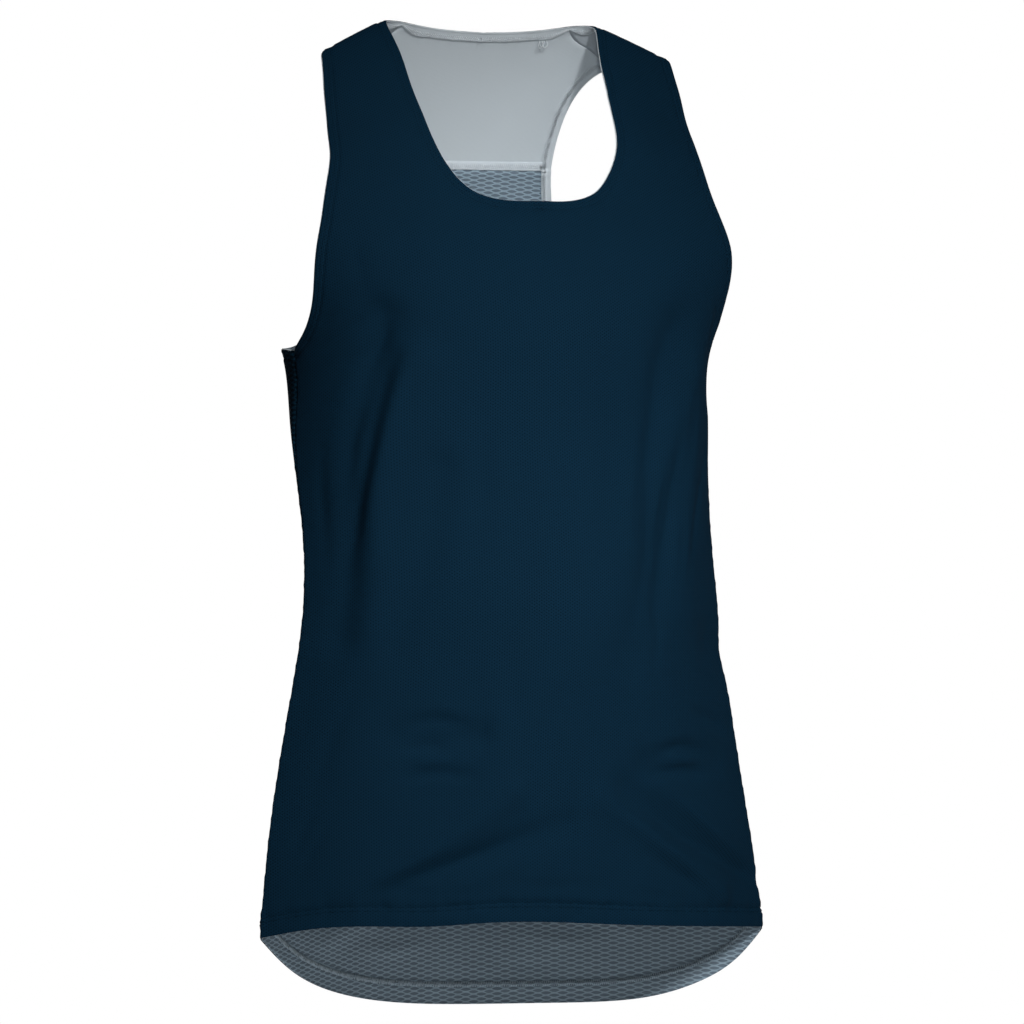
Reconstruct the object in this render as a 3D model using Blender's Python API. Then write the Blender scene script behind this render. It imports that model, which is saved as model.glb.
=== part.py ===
"""A running singlet with a racer back, hollow and filled out as if it were worn.

The front faces -Y and the wearer's left is +X. The origin lies midway between the shoulder straps, at
their highest points, and the cloth hangs below it.

Every panel is drawn on one general torso, a stack of horizontal sections. A place on it is a pair:
  angle  degrees round from the centre line, plus towards the wearer's left,
  climb  the signed square root of the drop below the top of the shoulder, plus in front, minus behind.
The climb runs through 0 at the top of the shoulder, which makes the shoulder a round ridge and lets one
panel wrap over it. The tables give the drop itself, in metres, and are the half at the wearer's left.
"""

import math
from collections import namedtuple

import bpy
import numpy as np

# ---------- cloth ----------
WALL = 0.0015  # a panel's wall
TURNED_WALL = 0.0010  # an edge that is turned inside and lies on its panel
SEAM_GAP = 0.0003  # between two pieces
NECK_TURNING = 0.007  # width of the turned edge round the neck
ARM_TURNING = 0.007  # width of the turned edge round each armhole
HEM_TURNING = 0.015  # height of the turned hems
YOKE_ALLOWANCE_DROP = 0.100  # the yoke seam's allowance reaches up to here inside the back

# ---------- where the panels end ----------
SIDE_HEM_DROP = 0.664  # the hem's corners, at the side seams
UNDERARM_DROP = 0.2435
YOKE_SEAM_DROP = 0.106
FRONT_NECK_DROP = 0.1345
BACK_NECK_DROP = 0.0080

# ---------- the torso ----------
Section = namedtuple("Section", "drop half_width side_y front_depth back_depth flatness")
TORSO = [
    Section(0.000, 0.166, 0.000, 0.0000, 0.0000, 0.0),
    Section(0.010, 0.166, 0.000, 0.0115, 0.0130, 0.0),
    Section(0.030, 0.168, -0.001, 0.0255, 0.0290, 0.0),
    Section(0.060, 0.173, -0.002, 0.0460, 0.0480, 0.0),
    Section(0.095, 0.190, -0.003, 0.0680, 0.0650, 0.0),
    Section(0.131, 0.208, -0.005, 0.0770, 0.0780, 0.0),
    Section(0.165, 0.210, -0.007, 0.0940, 0.0880, 0.0),
    Section(0.204, 0.186, -0.009, 0.1050, 0.0950, 0.0),
    Section(0.241, 0.166, -0.012, 0.1080, 0.0970, 0.0),
    Section(0.300, 0.1655, -0.020, 0.1000, 0.0950, 0.25),
    Section(0.365, 0.1640, -0.033, 0.0920, 0.0900, 0.6),
    Section(0.430, 0.1665, -0.042, 0.0870, 0.0880, 0.85),
    Section(0.490, 0.1755, -0.041, 0.0850, 0.0860, 1.0),
    Section(0.580, 0.1915, -0.040, 0.0820, 0.0860, 1.0),
    Section(0.664, 0.202, -0.045, 0.0800, 0.0870, 1.0),
    Section(0.730, 0.206, -0.045, 0.0800, 0.0870, 1.0),
]
NECK_HALF_WIDTH = 0.084  # the shoulders fall away outside this
SHOULDER_SLOPE = 0.480  # how fast they fall
SHOULDER_FORWARD = 0.24  # how fast their line runs forward
SHOULDER_SOFTNESS = 0.010
SHOULDER_FADE = 0.150  # below this drop the slope no longer tells

# ---------- edges and seams ----------
SIDE_ANGLE = 90  # from the centre front to the side, in degrees
SIDE_SEAM_FORWARD = 4  # degrees that the side seam lies forward of the side, at the underarm
SIDE_SEAM_FADE = 0.100  # and how far below the underarm it reaches the side
Edge = namedtuple("Edge", "angle drop")
NECK = [
    Edge(0.0, FRONT_NECK_DROP),
    Edge(8.0, 0.1340),
    Edge(12.4, 0.1300),
    Edge(16.2, 0.1210),
    Edge(19.2, 0.1100),
    Edge(22.5, 0.0940),
    Edge(25.4, 0.0720),
    Edge(27.6, 0.0480),
    Edge(29.0, 0.0200),
    Edge(29.4, 0.0),
    Edge(27.8, -0.0005),
    Edge(23.6, -0.0021),
    Edge(18.0, -0.0044),
    Edge(10.0, -0.0068),
    Edge(0.0, -BACK_NECK_DROP),
]
NECK_AT_SHOULDER, NECK_AT_NAPE = 11, 14  # rows above, at the shoulder seam and at the centre back
ARMHOLE = [
    Edge(SIDE_ANGLE - SIDE_SEAM_FORWARD, UNDERARM_DROP),
    Edge(77.5, 0.2335),
    Edge(68.9, 0.2190),
    Edge(58.8, 0.1920),
    Edge(51.2, 0.1620),
    Edge(48.5, 0.1320),
    Edge(51.6, 0.0940),
    Edge(57.0, 0.0600),
    Edge(58.3, 0.0340),
    Edge(58.0, 0.0120),
    Edge(56.5, 0.0),
    Edge(47.0, -0.0100),
    Edge(38.0, -0.0230),
    Edge(31.0, -0.0450),
    Edge(26.3, -0.0740),
    Edge(23.6, -YOKE_ALLOWANCE_DROP),
    Edge(23.2, -YOKE_SEAM_DROP),
    Edge(23.0, -0.1300),
    Edge(26.0, -0.1650),
    Edge(36.0, -0.2050),
    Edge(42.5, -0.2260),
    Edge(54.0, -0.2385),
    Edge(71.0, -0.2415),
    Edge(SIDE_ANGLE + SIDE_SEAM_FORWARD, -UNDERARM_DROP),
]
ARM_AT_SHOULDER, ARM_AT_ALLOWANCE, ARM_AT_YOKE = 12, 15, 16  # rows above where seams meet the armhole
ARM_FRONT_END, ARM_BACK_END = 0, 23  # rows above where the armhole's ends meet, at the side seam
SHOULDER_SEAM = [
    Edge(23.6, -0.0021),
    Edge(25.4, -0.0085),
    Edge(31.0, -0.0155),
    Edge(38.0, -0.0230),
]
SHOULDER_NECK_STEP = 0.0075  # how far along the shoulder seam the neck's turned edge reaches
SHOULDER_ARM_STEP = 0.0075  # and the armhole's
FRONT_HEM = [
    Edge(-90.0, SIDE_HEM_DROP),
    Edge(-76.0, 0.6570),
    Edge(-43.0, 0.6550),
    Edge(-28.0, 0.6530),
    Edge(22.0, 0.6560),
    Edge(65.0, 0.6610),
    Edge(90.0, SIDE_HEM_DROP),
]
TAIL = [
    Edge(-90.0, SIDE_HEM_DROP),
    Edge(-72.0, 0.6900),
    Edge(-59.0, 0.7025),
    Edge(-45.0, 0.7110),
    Edge(-28.0, 0.7170),
    Edge(0.0, 0.7205),
    Edge(28.0, 0.7208),
    Edge(45.0, 0.7200),
    Edge(59.0, 0.7160),
    Edge(73.0, 0.7040),
    Edge(83.0, 0.6860),
    Edge(90.0, SIDE_HEM_DROP),
]
FRONT_HEM_REACH = 0.10  # how far above the hem its shape is still felt
TAIL_REACH = 0.35

# ---------- largest folds ----------
# A fold follows a path of (degrees round from the centre front, drop). It is a ridge where its height is
# plus and a trough where it is minus, and the height runs from the first value to the second.
ARC = 0.00245  # metres round the torso for each degree
Fold = namedtuple("Fold", "path half_width first_height last_height")
FOLDS = [
    Fold([(-44, 0.218), (-56, 0.279), (-66, 0.336), (-73, 0.393), (-77, 0.450)], 0.013, -0.005, -0.003),
    Fold([(-38, 0.250), (-51, 0.305), (-62, 0.370), (-68, 0.440)], 0.014, 0.004, 0.002),
    Fold([(-37, 0.330), (-46, 0.380), (-60, 0.450)], 0.015, -0.003, -0.002),
    Fold([(38, 0.230), (34, 0.314), (36, 0.387), (31, 0.451)], 0.022, -0.005, -0.003),
    Fold([(52, 0.260), (56, 0.340), (60, 0.430)], 0.020, 0.003, 0.002),
    Fold([(10, 0.340), (8, 0.460)], 0.030, 0.002, 0.002),
    Fold([(-18, 0.560), (-40, 0.600), (-66, 0.634)], 0.012, 0.004, 0.003),
    Fold([(2, 0.584), (-30, 0.608), (-58, 0.636)], 0.012, -0.003, -0.003),
    Fold([(16, 0.566), (42, 0.606), (68, 0.636)], 0.012, 0.003, 0.003),
    Fold([(27, 0.558), (58, 0.592), (82, 0.620)], 0.011, -0.003, -0.003),
    Fold([(-58, 0.520), (-30, 0.520)], 0.011, -0.002, -0.003),
    Fold([(36, 0.542), (74, 0.542)], 0.011, -0.003, -0.002),
    Fold([(140, 0.220), (146, 0.340), (152, 0.470)], 0.022, -0.005, -0.003),
    Fold([(-142, 0.230), (-150, 0.350), (-146, 0.480)], 0.020, -0.005, -0.003),
    Fold([(172, 0.250), (176, 0.420)], 0.030, 0.004, 0.002),
    Fold([(128, 0.480), (158, 0.530), (-176, 0.560)], 0.014, 0.003, 0.002),
    Fold([(-126, 0.500), (-154, 0.550), (178, 0.585)], 0.014, -0.003, -0.002),
    Fold([(132, 0.600), (150, 0.640)], 0.014, -0.003, -0.003),
    Fold([(78, 0.455), (104, 0.470)], 0.019, -0.003, -0.003),
]

# ---------- how finely the cloth is drawn ----------
COLUMNS = 12  # across each half of a panel
SIDE_ROWS = 18  # from the hem's stitching to the underarm
CHEST_ROWS = 4  # from there to the bottom of the neck
STRAP_ROWS = 14  # along the neck to the shoulder seam
YOKE_ROWS = 4  # from the yoke seam to the back of the neck
NAPE_ROWS = 5  # along the back of the neck
RACER_ROWS = 9  # from the underarm to the yoke seam
RACER_LEAN = 1.85  # these rows close up towards the underarm, where the armhole runs level
RIDGE_SPACING = 0.35  # how strongly the rows close up towards the top of the shoulder
FINE_STEPS = 400  # for measuring a line's length
NUDGE_ANGLE = 0.2  # steps for slopes of the surface
NUDGE_CLIMB = 0.0004
MERGE_DIGITS = 6
CENTRE_ANGLE = 1e-6  # an angle below this is on the centre line
SHARP_ANGLE = 50  # in degrees, edges sharper than this are shaded as edges

# ---------- colours ----------
Cloth = namedtuple("Cloth", "colour roughness")
PIQUE_NAVY = Cloth((0.0045, 0.0212, 0.0423), 0.85)
SMOOTH_GREY = Cloth((0.3467, 0.4072, 0.4508), 0.90)
MESH_NAVY = Cloth((0.0030, 0.0130, 0.0260), 0.90)
EDGE_GREY = Cloth((0.3180, 0.3760, 0.4180), 0.85)


def remove_all_objects():
    for obj in list(bpy.data.objects):
        bpy.data.objects.remove(obj, do_unlink=True)


def spline(knots, values):
    """A natural cubic spline through values at knots."""
    knots = np.asarray(knots, float)
    values = np.asarray(values, float)
    count = len(knots)
    step = np.diff(knots)
    slope = np.diff(values, axis=0) / step.reshape(-1, *[1] * (values.ndim - 1))
    matrix = np.eye(count)
    right = np.zeros_like(values)
    for i in range(1, count - 1):
        matrix[i, i - 1 : i + 2] = step[i - 1], 2 * (step[i - 1] + step[i]), step[i]
        right[i] = 6 * (slope[i] - slope[i - 1])
    bend = np.linalg.solve(matrix, right)

    def at(where):
        where = np.clip(np.asarray(where, float), knots[0], knots[-1])
        i = np.clip(np.searchsorted(knots, where) - 1, 0, count - 2)
        shape = where.shape + (1,) * (values.ndim - 1)
        before = (where - knots[i]).reshape(shape)
        after = (knots[i + 1] - where).reshape(shape)
        width = step[i].reshape(shape)
        curve = (bend[i] * after**3 + bend[i + 1] * before**3) / (6 * width)
        left = (values[i] / width - bend[i] * width / 6) * after
        return curve + left + (values[i + 1] / width - bend[i + 1] * width / 6) * before

    return at


def climb_of(drop):
    return np.sign(drop) * np.sqrt(np.abs(drop))


def table_line(rows):
    """The drop of a line as a function of its angle."""
    return spline([row.angle for row in rows], [row.drop for row in rows])


torso_at = spline([math.sqrt(s.drop) for s in TORSO], [s[1:] for s in TORSO])
front_hem_at = table_line(FRONT_HEM)
tail_at = table_line(TAIL)


def outside_neck(x):
    """How far x is outside the neck, rounded off where the shoulder begins."""
    out = np.abs(x) - NECK_HALF_WIDTH
    return (np.sqrt(out * out + SHOULDER_SOFTNESS**2) + out) / 2


def smooth_step(value):
    value = np.clip(value, 0, 1)
    return value * value * (3 - 2 * value)


def side_seam_at(drop):
    """The side seam's angle on a front half."""
    return SIDE_ANGLE - SIDE_SEAM_FORWARD * smooth_step(1 - (drop - UNDERARM_DROP) / SIDE_SEAM_FADE)


def torso_point(angle, climb):
    """The point of the bare torso at an angle and a climb."""
    half_width, side_y, front_depth, back_depth, flat = np.moveaxis(torso_at(np.abs(climb)), -1, 0)
    drop = climb * climb
    turn = np.radians(angle)
    quarter = np.abs(angle) / SIDE_ANGLE
    past_side = quarter > 1
    run = np.where(past_side, 2 - quarter, quarter)
    lens_x = np.sign(angle) * run
    lens_y = np.where(past_side, -1, 1) * (1 - run * run)
    across = (1 - flat) * np.sin(turn) + flat * lens_x
    deep = (1 - flat) * np.cos(turn) + flat * lens_y
    facing = np.where(climb >= 0, -1.0, 1.0)
    depth = np.where(facing * deep < 0, front_depth, back_depth)
    x = half_width * across
    shoulder = outside_neck(x) * smooth_step(1 - drop / SHOULDER_FADE)
    y = side_y + facing * depth * deep - SHOULDER_FORWARD * shoulder
    z = -drop - SHOULDER_SLOPE * shoulder
    return np.stack([x, y, z], -1)


def slopes(surface, angle, climb):
    """How the surface moves with the angle and with the climb."""
    with_angle = surface(angle + NUDGE_ANGLE, climb) - surface(angle - NUDGE_ANGLE, climb)
    with_climb = surface(angle, climb + NUDGE_CLIMB) - surface(angle, climb - NUDGE_CLIMB)
    return with_angle / (2 * NUDGE_ANGLE), with_climb / (2 * NUDGE_CLIMB)


def outward(surface, angle, climb):
    """The unit normal that points out of the garment."""
    with_angle, with_climb = slopes(surface, angle, climb)
    normal = np.cross(with_climb, with_angle)
    return normal / np.linalg.norm(normal, axis=-1, keepdims=True)


def shortest_turn(degrees):
    """The same turn, the shorter way round."""
    return (degrees + 2 * SIDE_ANGLE) % (4 * SIDE_ANGLE) - 2 * SIDE_ANGLE


def path_fade(along_round, drop, fold):
    """How near each place is to a fold's path, 1 on it, and the height of the fold there."""
    best = np.full(drop.shape, np.inf)
    height = np.zeros(drop.shape)
    spans = len(fold.path) - 1
    for i in range(spans):
        (angle_a, drop_a), (angle_b, drop_b) = fold.path[i], fold.path[i + 1]
        from_a = shortest_turn(along_round - angle_a) * ARC
        run = shortest_turn(angle_b - angle_a) * ARC
        fall = drop_b - drop_a
        share = np.clip((from_a * run + (drop - drop_a) * fall) / (run * run + fall * fall), 0, 1)
        distance = np.hypot(from_a - share * run, drop - drop_a - share * fall)
        nearer = distance < best
        best = np.where(nearer, distance, best)
        done = (i + share) / spans
        here = fold.first_height + (fold.last_height - fold.first_height) * done
        height = np.where(nearer, here, height)
    return np.exp(-((best / fold.half_width) ** 2)), height


def fold_height(angle, climb):
    """How far the cloth stands off the torso at its folds."""
    past = 2 * SIDE_ANGLE * np.where(angle < 0, -1, 1) - angle
    along_round = np.where(climb >= 0, angle, past)
    drop = climb * climb
    total = np.zeros(drop.shape)
    for fold in FOLDS:
        near, height = path_fade(along_round, drop, fold)
        total += near * height
    return total


def cloth_point(angle, climb):
    """The point of the cloth's outer face."""
    off = fold_height(angle, climb)[..., None]
    return torso_point(angle, climb) + off * outward(torso_point, angle, climb)


class Line:
    """A smooth line on the cloth through the rows of a table."""

    def __init__(self, rows):
        knots = np.array([(row.angle, climb_of(row.drop)) for row in rows])
        points = torso_point(knots[:, 0], knots[:, 1])
        chord = np.linalg.norm(np.diff(points, axis=0), axis=1)
        at_knot = np.concatenate([[0], np.cumsum(chord)])
        self.place = spline(at_knot, knots)
        self.fine = np.linspace(0, at_knot[-1], FINE_STEPS + 1)
        places = self.place(self.fine)
        points = torso_point(places[:, 0], places[:, 1])
        step = np.linalg.norm(np.diff(points, axis=0), axis=1)
        step += RIDGE_SPACING * np.abs(np.diff(places[:, 1]))
        self.measure = np.concatenate([[0], np.cumsum(step)])
        self.at_row = np.interp(at_knot, self.fine, self.measure)

    def stations(self, first_row, last_row, count, width):
        """Evenly spaced places from one row to another, and places that lie a width inside the cloth."""
        measures = np.linspace(self.at_row[first_row], self.at_row[last_row], count + 1)
        where = np.interp(measures, self.measure, self.fine)
        edge = self.place(where)
        tiny = self.fine[1] / 2
        heading = self.place(where + tiny) - self.place(where - tiny)
        with_angle, with_climb = slopes(torso_point, edge[:, 0], edge[:, 1])
        tangent = with_angle * heading[:, :1] + with_climb * heading[:, 1:]
        normal = outward(torso_point, edge[:, 0], edge[:, 1])
        inward = np.cross(normal, tangent)
        inward *= width / np.linalg.norm(inward, axis=1, keepdims=True)
        inside = edge.copy()
        for i in range(len(edge)):
            axes = np.stack([with_angle[i], with_climb[i]], 1)
            inside[i] += np.linalg.lstsq(axes, inward[i], rcond=None)[0]
        on_centre = np.abs(edge[:, 0]) < CENTRE_ANGLE
        inside[on_centre, 0] = 0.0
        edge[on_centre, 0] = 0.0
        return edge, inside

    def row(self, first_step, last_step, count):
        """Evenly spaced places that start and end a step inside the line's ends."""
        measures = np.linspace(first_step, self.measure[-1] - last_step, count + 1)
        return self.place(np.interp(measures, self.measure, self.fine))


class Sheet:
    """A sheet of triangles on the cloth, held as places, which becomes one thin closed solid."""

    def __init__(self):
        self.index = {}
        self.places = []
        self.faces = []
        self.seam = set()

    def vertex(self, place):
        key = tuple(np.round(place, MERGE_DIGITS))
        if key not in self.index:
            self.index[key] = len(self.places)
            self.places.append(place)
        return self.index[key]

    def add_face(self, face):
        """A triangle, turned so that it faces out of the garment."""
        first, second, third = (self.places[i] for i in face)
        run, rise = second - first, third - first
        turned = run[0] * rise[1] - run[1] * rise[0]
        self.faces.append(face[::-1] if turned > 0 else face)

    def add_grid(self, grid):
        """Two triangles for each cell of a grid of places."""
        ids = [[self.vertex(place) for place in row] for row in grid]
        for r in range(len(ids) - 1):
            for c in range(len(ids[0]) - 1):
                self.add_face([ids[r][c], ids[r][c + 1], ids[r + 1][c + 1]])
                self.add_face([ids[r][c], ids[r + 1][c + 1], ids[r + 1][c]])

    def add_halves(self, grid):
        """The grid at the wearer's left, and its mirror image at the right."""
        self.add_grid(grid)
        self.add_grid(mirrored(grid))

    def mark_seam(self, line):
        """The places of a line are held back from what is sewn on there."""
        for place in list(line) + list(mirrored(line)):
            key = tuple(np.round(place, MERGE_DIGITS))
            if key in self.index:
                self.seam.add(self.index[key])

    def held_back(self, points, normals, gap):
        """The points, with those on a seam moved into the panel by the gap."""
        towards = {i: [] for i in self.seam}
        for face in self.faces:
            middle = points[face].mean(axis=0)
            for i in self.seam.intersection(face):
                towards[i].append(middle - points[i])
        seam_runs = {i: [] for i in self.seam}
        for face in self.faces:
            for a, b in zip(face, face[1:] + face[:1]):
                if a in self.seam and b in self.seam:
                    seam_runs[a].append(points[b] - points[a])
                    seam_runs[b].append(points[b] - points[a])
        moved = points.copy()
        for i, pulls in towards.items():
            run = sum(seam_runs[i])
            run = run - normals[i] * run.dot(normals[i])
            run /= np.linalg.norm(run)
            pull = sum(pulls)
            pull = pull - normals[i] * pull.dot(normals[i]) - run * pull.dot(run)
            moved[i] += pull * gap / np.linalg.norm(pull)
        return moved

    def rim(self):
        """The edges that belong to one face only, in that face's direction."""
        edges = set()
        for face in self.faces:
            for a, b in zip(face, face[1:] + face[:1]):
                edges.add((a, b))
        return [(a, b) for a, b in sorted(edges) if (b, a) not in edges]

    def solid(self, name, outer_depth, wall, material, gap=SEAM_GAP / 2):
        """The sheet as a wall whose outer face lies outer_depth inside the cloth's outer face."""
        places = np.array(self.places)
        angle, climb = places[:, 0], places[:, 1]
        normals = outward(cloth_point, angle, climb)
        points = self.held_back(cloth_point(angle, climb), normals, gap)
        outer = points - outer_depth * normals
        inner = outer - wall * normals
        count = len(points)
        faces = [list(face) for face in self.faces]
        faces += [[i + count for i in reversed(face)] for face in self.faces]
        faces += [[b, a, a + count, b + count] for a, b in self.rim()]
        mesh = bpy.data.meshes.new(name)
        mesh.from_pydata(np.concatenate([outer, inner]).tolist(), [], faces)
        mesh.materials.append(material)
        mesh.shade_smooth()
        mesh.set_sharp_from_angle(angle=math.radians(SHARP_ANGLE))
        obj = bpy.data.objects.new(name, mesh)
        bpy.context.scene.collection.objects.link(obj)
        return obj


def mirrored(grid):
    return np.asarray(grid) * np.array([-1.0, 1.0])


def between(inner, outer, columns=COLUMNS):
    """Rows of places from each inner place to its outer place."""
    share = np.linspace(0, 1, columns + 1)[None, :, None]
    return np.asarray(inner)[:, None] * (1 - share) + np.asarray(outer)[:, None] * share


def strip(edge, inside):
    return np.stack([edge, inside], axis=1)


def hem_grid(levels, facing, hem_at, reach):
    """Rows from the centre to the side seam of one half, the lowest of them shaped as the hem.

    The half at the wearer's left has plus angles, and a minus facing is the back."""
    halves = []
    for side in (1, -1):
        rows = []
        for level in levels:
            seam = side_seam_at(level)
            last = seam if facing > 0 else 2 * SIDE_ANGLE - seam
            angles = side * np.linspace(0, last, COLUMNS + 1)
            felt = smooth_step((level - (SIDE_HEM_DROP - HEM_TURNING - reach)) / reach)
            hem_angle = np.clip(angles, -SIDE_ANGLE, SIDE_ANGLE)
            drops = level + (hem_at(hem_angle) - SIDE_HEM_DROP) * felt
            rows.append(np.stack([angles, facing * np.sqrt(drops)], -1))
        halves.append(np.array(rows))
    return halves


def side_levels():
    """The drops of the rows from the hem to just below the underarm."""
    top = UNDERARM_DROP + ARM_TURNING
    rest = np.linspace(SIDE_HEM_DROP - HEM_TURNING, top, SIDE_ROWS + 1)
    return np.concatenate([[SIDE_HEM_DROP], rest])


def arm_lines(armhole, first, last, count):
    """An armhole's edge and its stitching, with the ends at the underarm set on the side seam."""
    edge, inside = armhole.stations(first, last, count, ARM_TURNING)
    below = UNDERARM_DROP + ARM_TURNING
    if first == ARM_FRONT_END:
        inside[0] = side_seam_at(below), math.sqrt(below)
    if first == ARM_BACK_END:
        inside[0] = 2 * SIDE_ANGLE - side_seam_at(below), -math.sqrt(below)
    return edge, inside


def centre_line(first_drop, last_drop, rows, facing, lean=1.0):
    """Places down the centre, the first of them closer together where the lean is over 1."""
    drops = first_drop + (last_drop - first_drop) * np.linspace(0, 1, rows + 1) ** lean
    return np.stack([np.zeros(rows + 1), facing * np.sqrt(drops)], -1)


def front_layout(neck, armhole, shoulder_row):
    """The grids and lines of the front."""
    neck_edge, neck_inside = neck.stations(0, NECK_AT_SHOULDER, STRAP_ROWS, -NECK_TURNING)
    rows = CHEST_ROWS + STRAP_ROWS
    arm_edge, arm_inside = arm_lines(armhole, ARM_FRONT_END, ARM_AT_SHOULDER, rows)
    top = UNDERARM_DROP + ARM_TURNING
    centre = centre_line(top, neck_inside[0][1] ** 2, CHEST_ROWS, 1)
    neck_inside[-1], arm_inside[-1] = shoulder_row[0], shoulder_row[-1]
    inner = np.concatenate([centre[:-1], neck_inside])
    chest = between(inner, arm_inside)
    chest[-1] = shoulder_row
    body = hem_grid(side_levels(), 1, front_hem_at, FRONT_HEM_REACH)
    return {
        "body": body,
        "chest": chest,
        "neck_strip": strip(neck_edge, neck_inside),
        "arm_strip": strip(arm_edge, arm_inside),
        "side": np.concatenate([body[0][:, -1], arm_edge[:1]]),
        "shoulder": np.concatenate([neck_edge[-1:], shoulder_row, arm_edge[-1:]]),
    }


def yoke_layout(neck, armhole, shoulder_row):
    """The grids and lines of the yoke, from its lower seam up."""
    nape_edge, nape_inside = neck.stations(NECK_AT_NAPE, NECK_AT_SHOULDER, NAPE_ROWS, -NECK_TURNING)
    low_edge, low_inside = arm_lines(armhole, ARM_AT_YOKE, ARM_AT_ALLOWANCE, 1)
    rows = YOKE_ROWS + NAPE_ROWS
    high_edge, high_inside = arm_lines(armhole, ARM_AT_ALLOWANCE, ARM_AT_SHOULDER, rows)
    nape_inside[-1], high_inside[-1] = shoulder_row[0], shoulder_row[-1]
    centre = centre_line(YOKE_ALLOWANCE_DROP, nape_inside[0][1] ** 2, YOKE_ROWS, -1)
    seam = np.array([[0.0, -math.sqrt(YOKE_SEAM_DROP)]])
    inner = np.concatenate([seam, centre[:-1], nape_inside])
    outer_inside = np.concatenate([low_inside[:1], high_inside])
    outer_edge = np.concatenate([low_edge[:1], high_edge])
    grid = between(inner, outer_inside)
    grid[-1] = shoulder_row
    return {
        "grid": grid,
        "neck_strip": strip(nape_edge, nape_inside),
        "arm_strip": strip(outer_edge, outer_inside),
        "shoulder": np.concatenate([nape_edge[-1:], shoulder_row, outer_edge[-1:]]),
        "yoke_seam": np.concatenate([grid[0], outer_edge[:1]]),
    }


def back_layout(armhole):
    """The grids and lines of the lower back."""
    arm_edge, arm_inside = arm_lines(armhole, ARM_BACK_END, ARM_AT_YOKE, RACER_ROWS)
    centre = centre_line(UNDERARM_DROP + ARM_TURNING, YOKE_SEAM_DROP, RACER_ROWS, -1, RACER_LEAN)
    body = hem_grid(side_levels(), -1, tail_at, TAIL_REACH)
    grid = between(centre, arm_inside)
    return {
        "body": body,
        "racer": grid,
        "arm_strip": strip(arm_edge, arm_inside),
        "side": np.concatenate([body[0][:, -1], arm_edge[:1]]),
        "yoke_seam": np.concatenate([grid[-1], arm_edge[-1:]]),
    }


def make_material(name, cloth):
    material = bpy.data.materials.new(name)
    material.use_nodes = True
    shader = material.node_tree.nodes["Principled BSDF"]
    shader.inputs["Base Color"].default_value = (*cloth.colour, 1.0)
    shader.inputs["Roughness"].default_value = cloth.roughness
    shader.inputs["Metallic"].default_value = 0.0
    return material


def make_front(front, material):
    sheet = Sheet()
    for half in front["body"]:
        sheet.add_grid(half)
    sheet.add_halves(front["chest"])
    sheet.add_halves(front["neck_strip"])
    sheet.add_halves(front["arm_strip"])
    sheet.mark_seam(front["side"])
    sheet.mark_seam(front["shoulder"])
    return sheet.solid("front_panel", 0.0, WALL, material)


def make_yoke(yoke, material):
    sheet = Sheet()
    sheet.add_halves(yoke["grid"])
    sheet.add_halves(yoke["neck_strip"])
    sheet.add_halves(yoke["arm_strip"])
    sheet.mark_seam(yoke["shoulder"])
    sheet.mark_seam(yoke["yoke_seam"])
    return sheet.solid("back_yoke", 0.0, WALL, material)


def make_back(back, material):
    sheet = Sheet()
    for half in back["body"]:
        sheet.add_grid(half)
    sheet.add_halves(back["racer"])
    sheet.add_halves(back["arm_strip"])
    sheet.mark_seam(back["side"])
    sheet.mark_seam(back["yoke_seam"])
    return sheet.solid("back_panel", 0.0, WALL, material)


def make_neck_band(front, yoke, material):
    sheet = Sheet()
    sheet.add_halves(front["neck_strip"])
    sheet.add_halves(yoke["neck_strip"])
    return sheet.solid("neck_band", WALL + SEAM_GAP, TURNED_WALL, material)


def make_armhole_band(name, side, front, yoke, back, material):
    """A ring in three lengths, whose ends meet at the underarm."""
    sheet = Sheet()
    for layout in (front, yoke, back):
        grid = layout["arm_strip"]
        sheet.add_grid(grid if side > 0 else mirrored(grid))
    sheet.mark_seam(front["arm_strip"][0])
    sheet.mark_seam(back["arm_strip"][0])
    return sheet.solid(name, WALL + SEAM_GAP, TURNED_WALL, material)


def make_hem_turnup(name, body, side_line, material):
    sheet = Sheet()
    for half in body:
        sheet.add_grid(half[:2])
    sheet.mark_seam(side_line)
    return sheet.solid(name, WALL + SEAM_GAP, TURNED_WALL, material)


def make_yoke_seam_band(yoke, material):
    """The seam allowances, which end just short of the armholes' turned edges."""
    sheet = Sheet()
    sheet.add_halves(yoke["grid"][:2])
    sheet.mark_seam(yoke["grid"][:2, -1])
    return sheet.solid("yoke_seam_band", WALL + SEAM_GAP, TURNED_WALL, material, gap=SEAM_GAP)


def main():
    remove_all_objects()
    neck = Line(NECK)
    armhole = Line(ARMHOLE)
    shoulder_row = Line(SHOULDER_SEAM).row(SHOULDER_NECK_STEP, SHOULDER_ARM_STEP, COLUMNS)
    front = front_layout(neck, armhole, shoulder_row)
    yoke = yoke_layout(neck, armhole, shoulder_row)
    back = back_layout(armhole)
    pique = make_material("dotted_pique", PIQUE_NAVY)
    smooth = make_material("smooth_knit", SMOOTH_GREY)
    mesh = make_material("diamond_mesh", MESH_NAVY)
    edge = make_material("turned_edge", EDGE_GREY)
    make_front(front, pique)
    make_yoke(yoke, smooth)
    make_back(back, mesh)
    make_neck_band(front, yoke, edge)
    make_armhole_band("armhole_band_left", 1, front, yoke, back, edge)
    make_armhole_band("armhole_band_right", -1, front, yoke, back, edge)
    make_hem_turnup("front_hem_turnup", front["body"], front["side"], edge)
    make_hem_turnup("back_hem_turnup", back["body"], back["side"], mesh)
    make_yoke_seam_band(yoke, smooth)


main()
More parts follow.
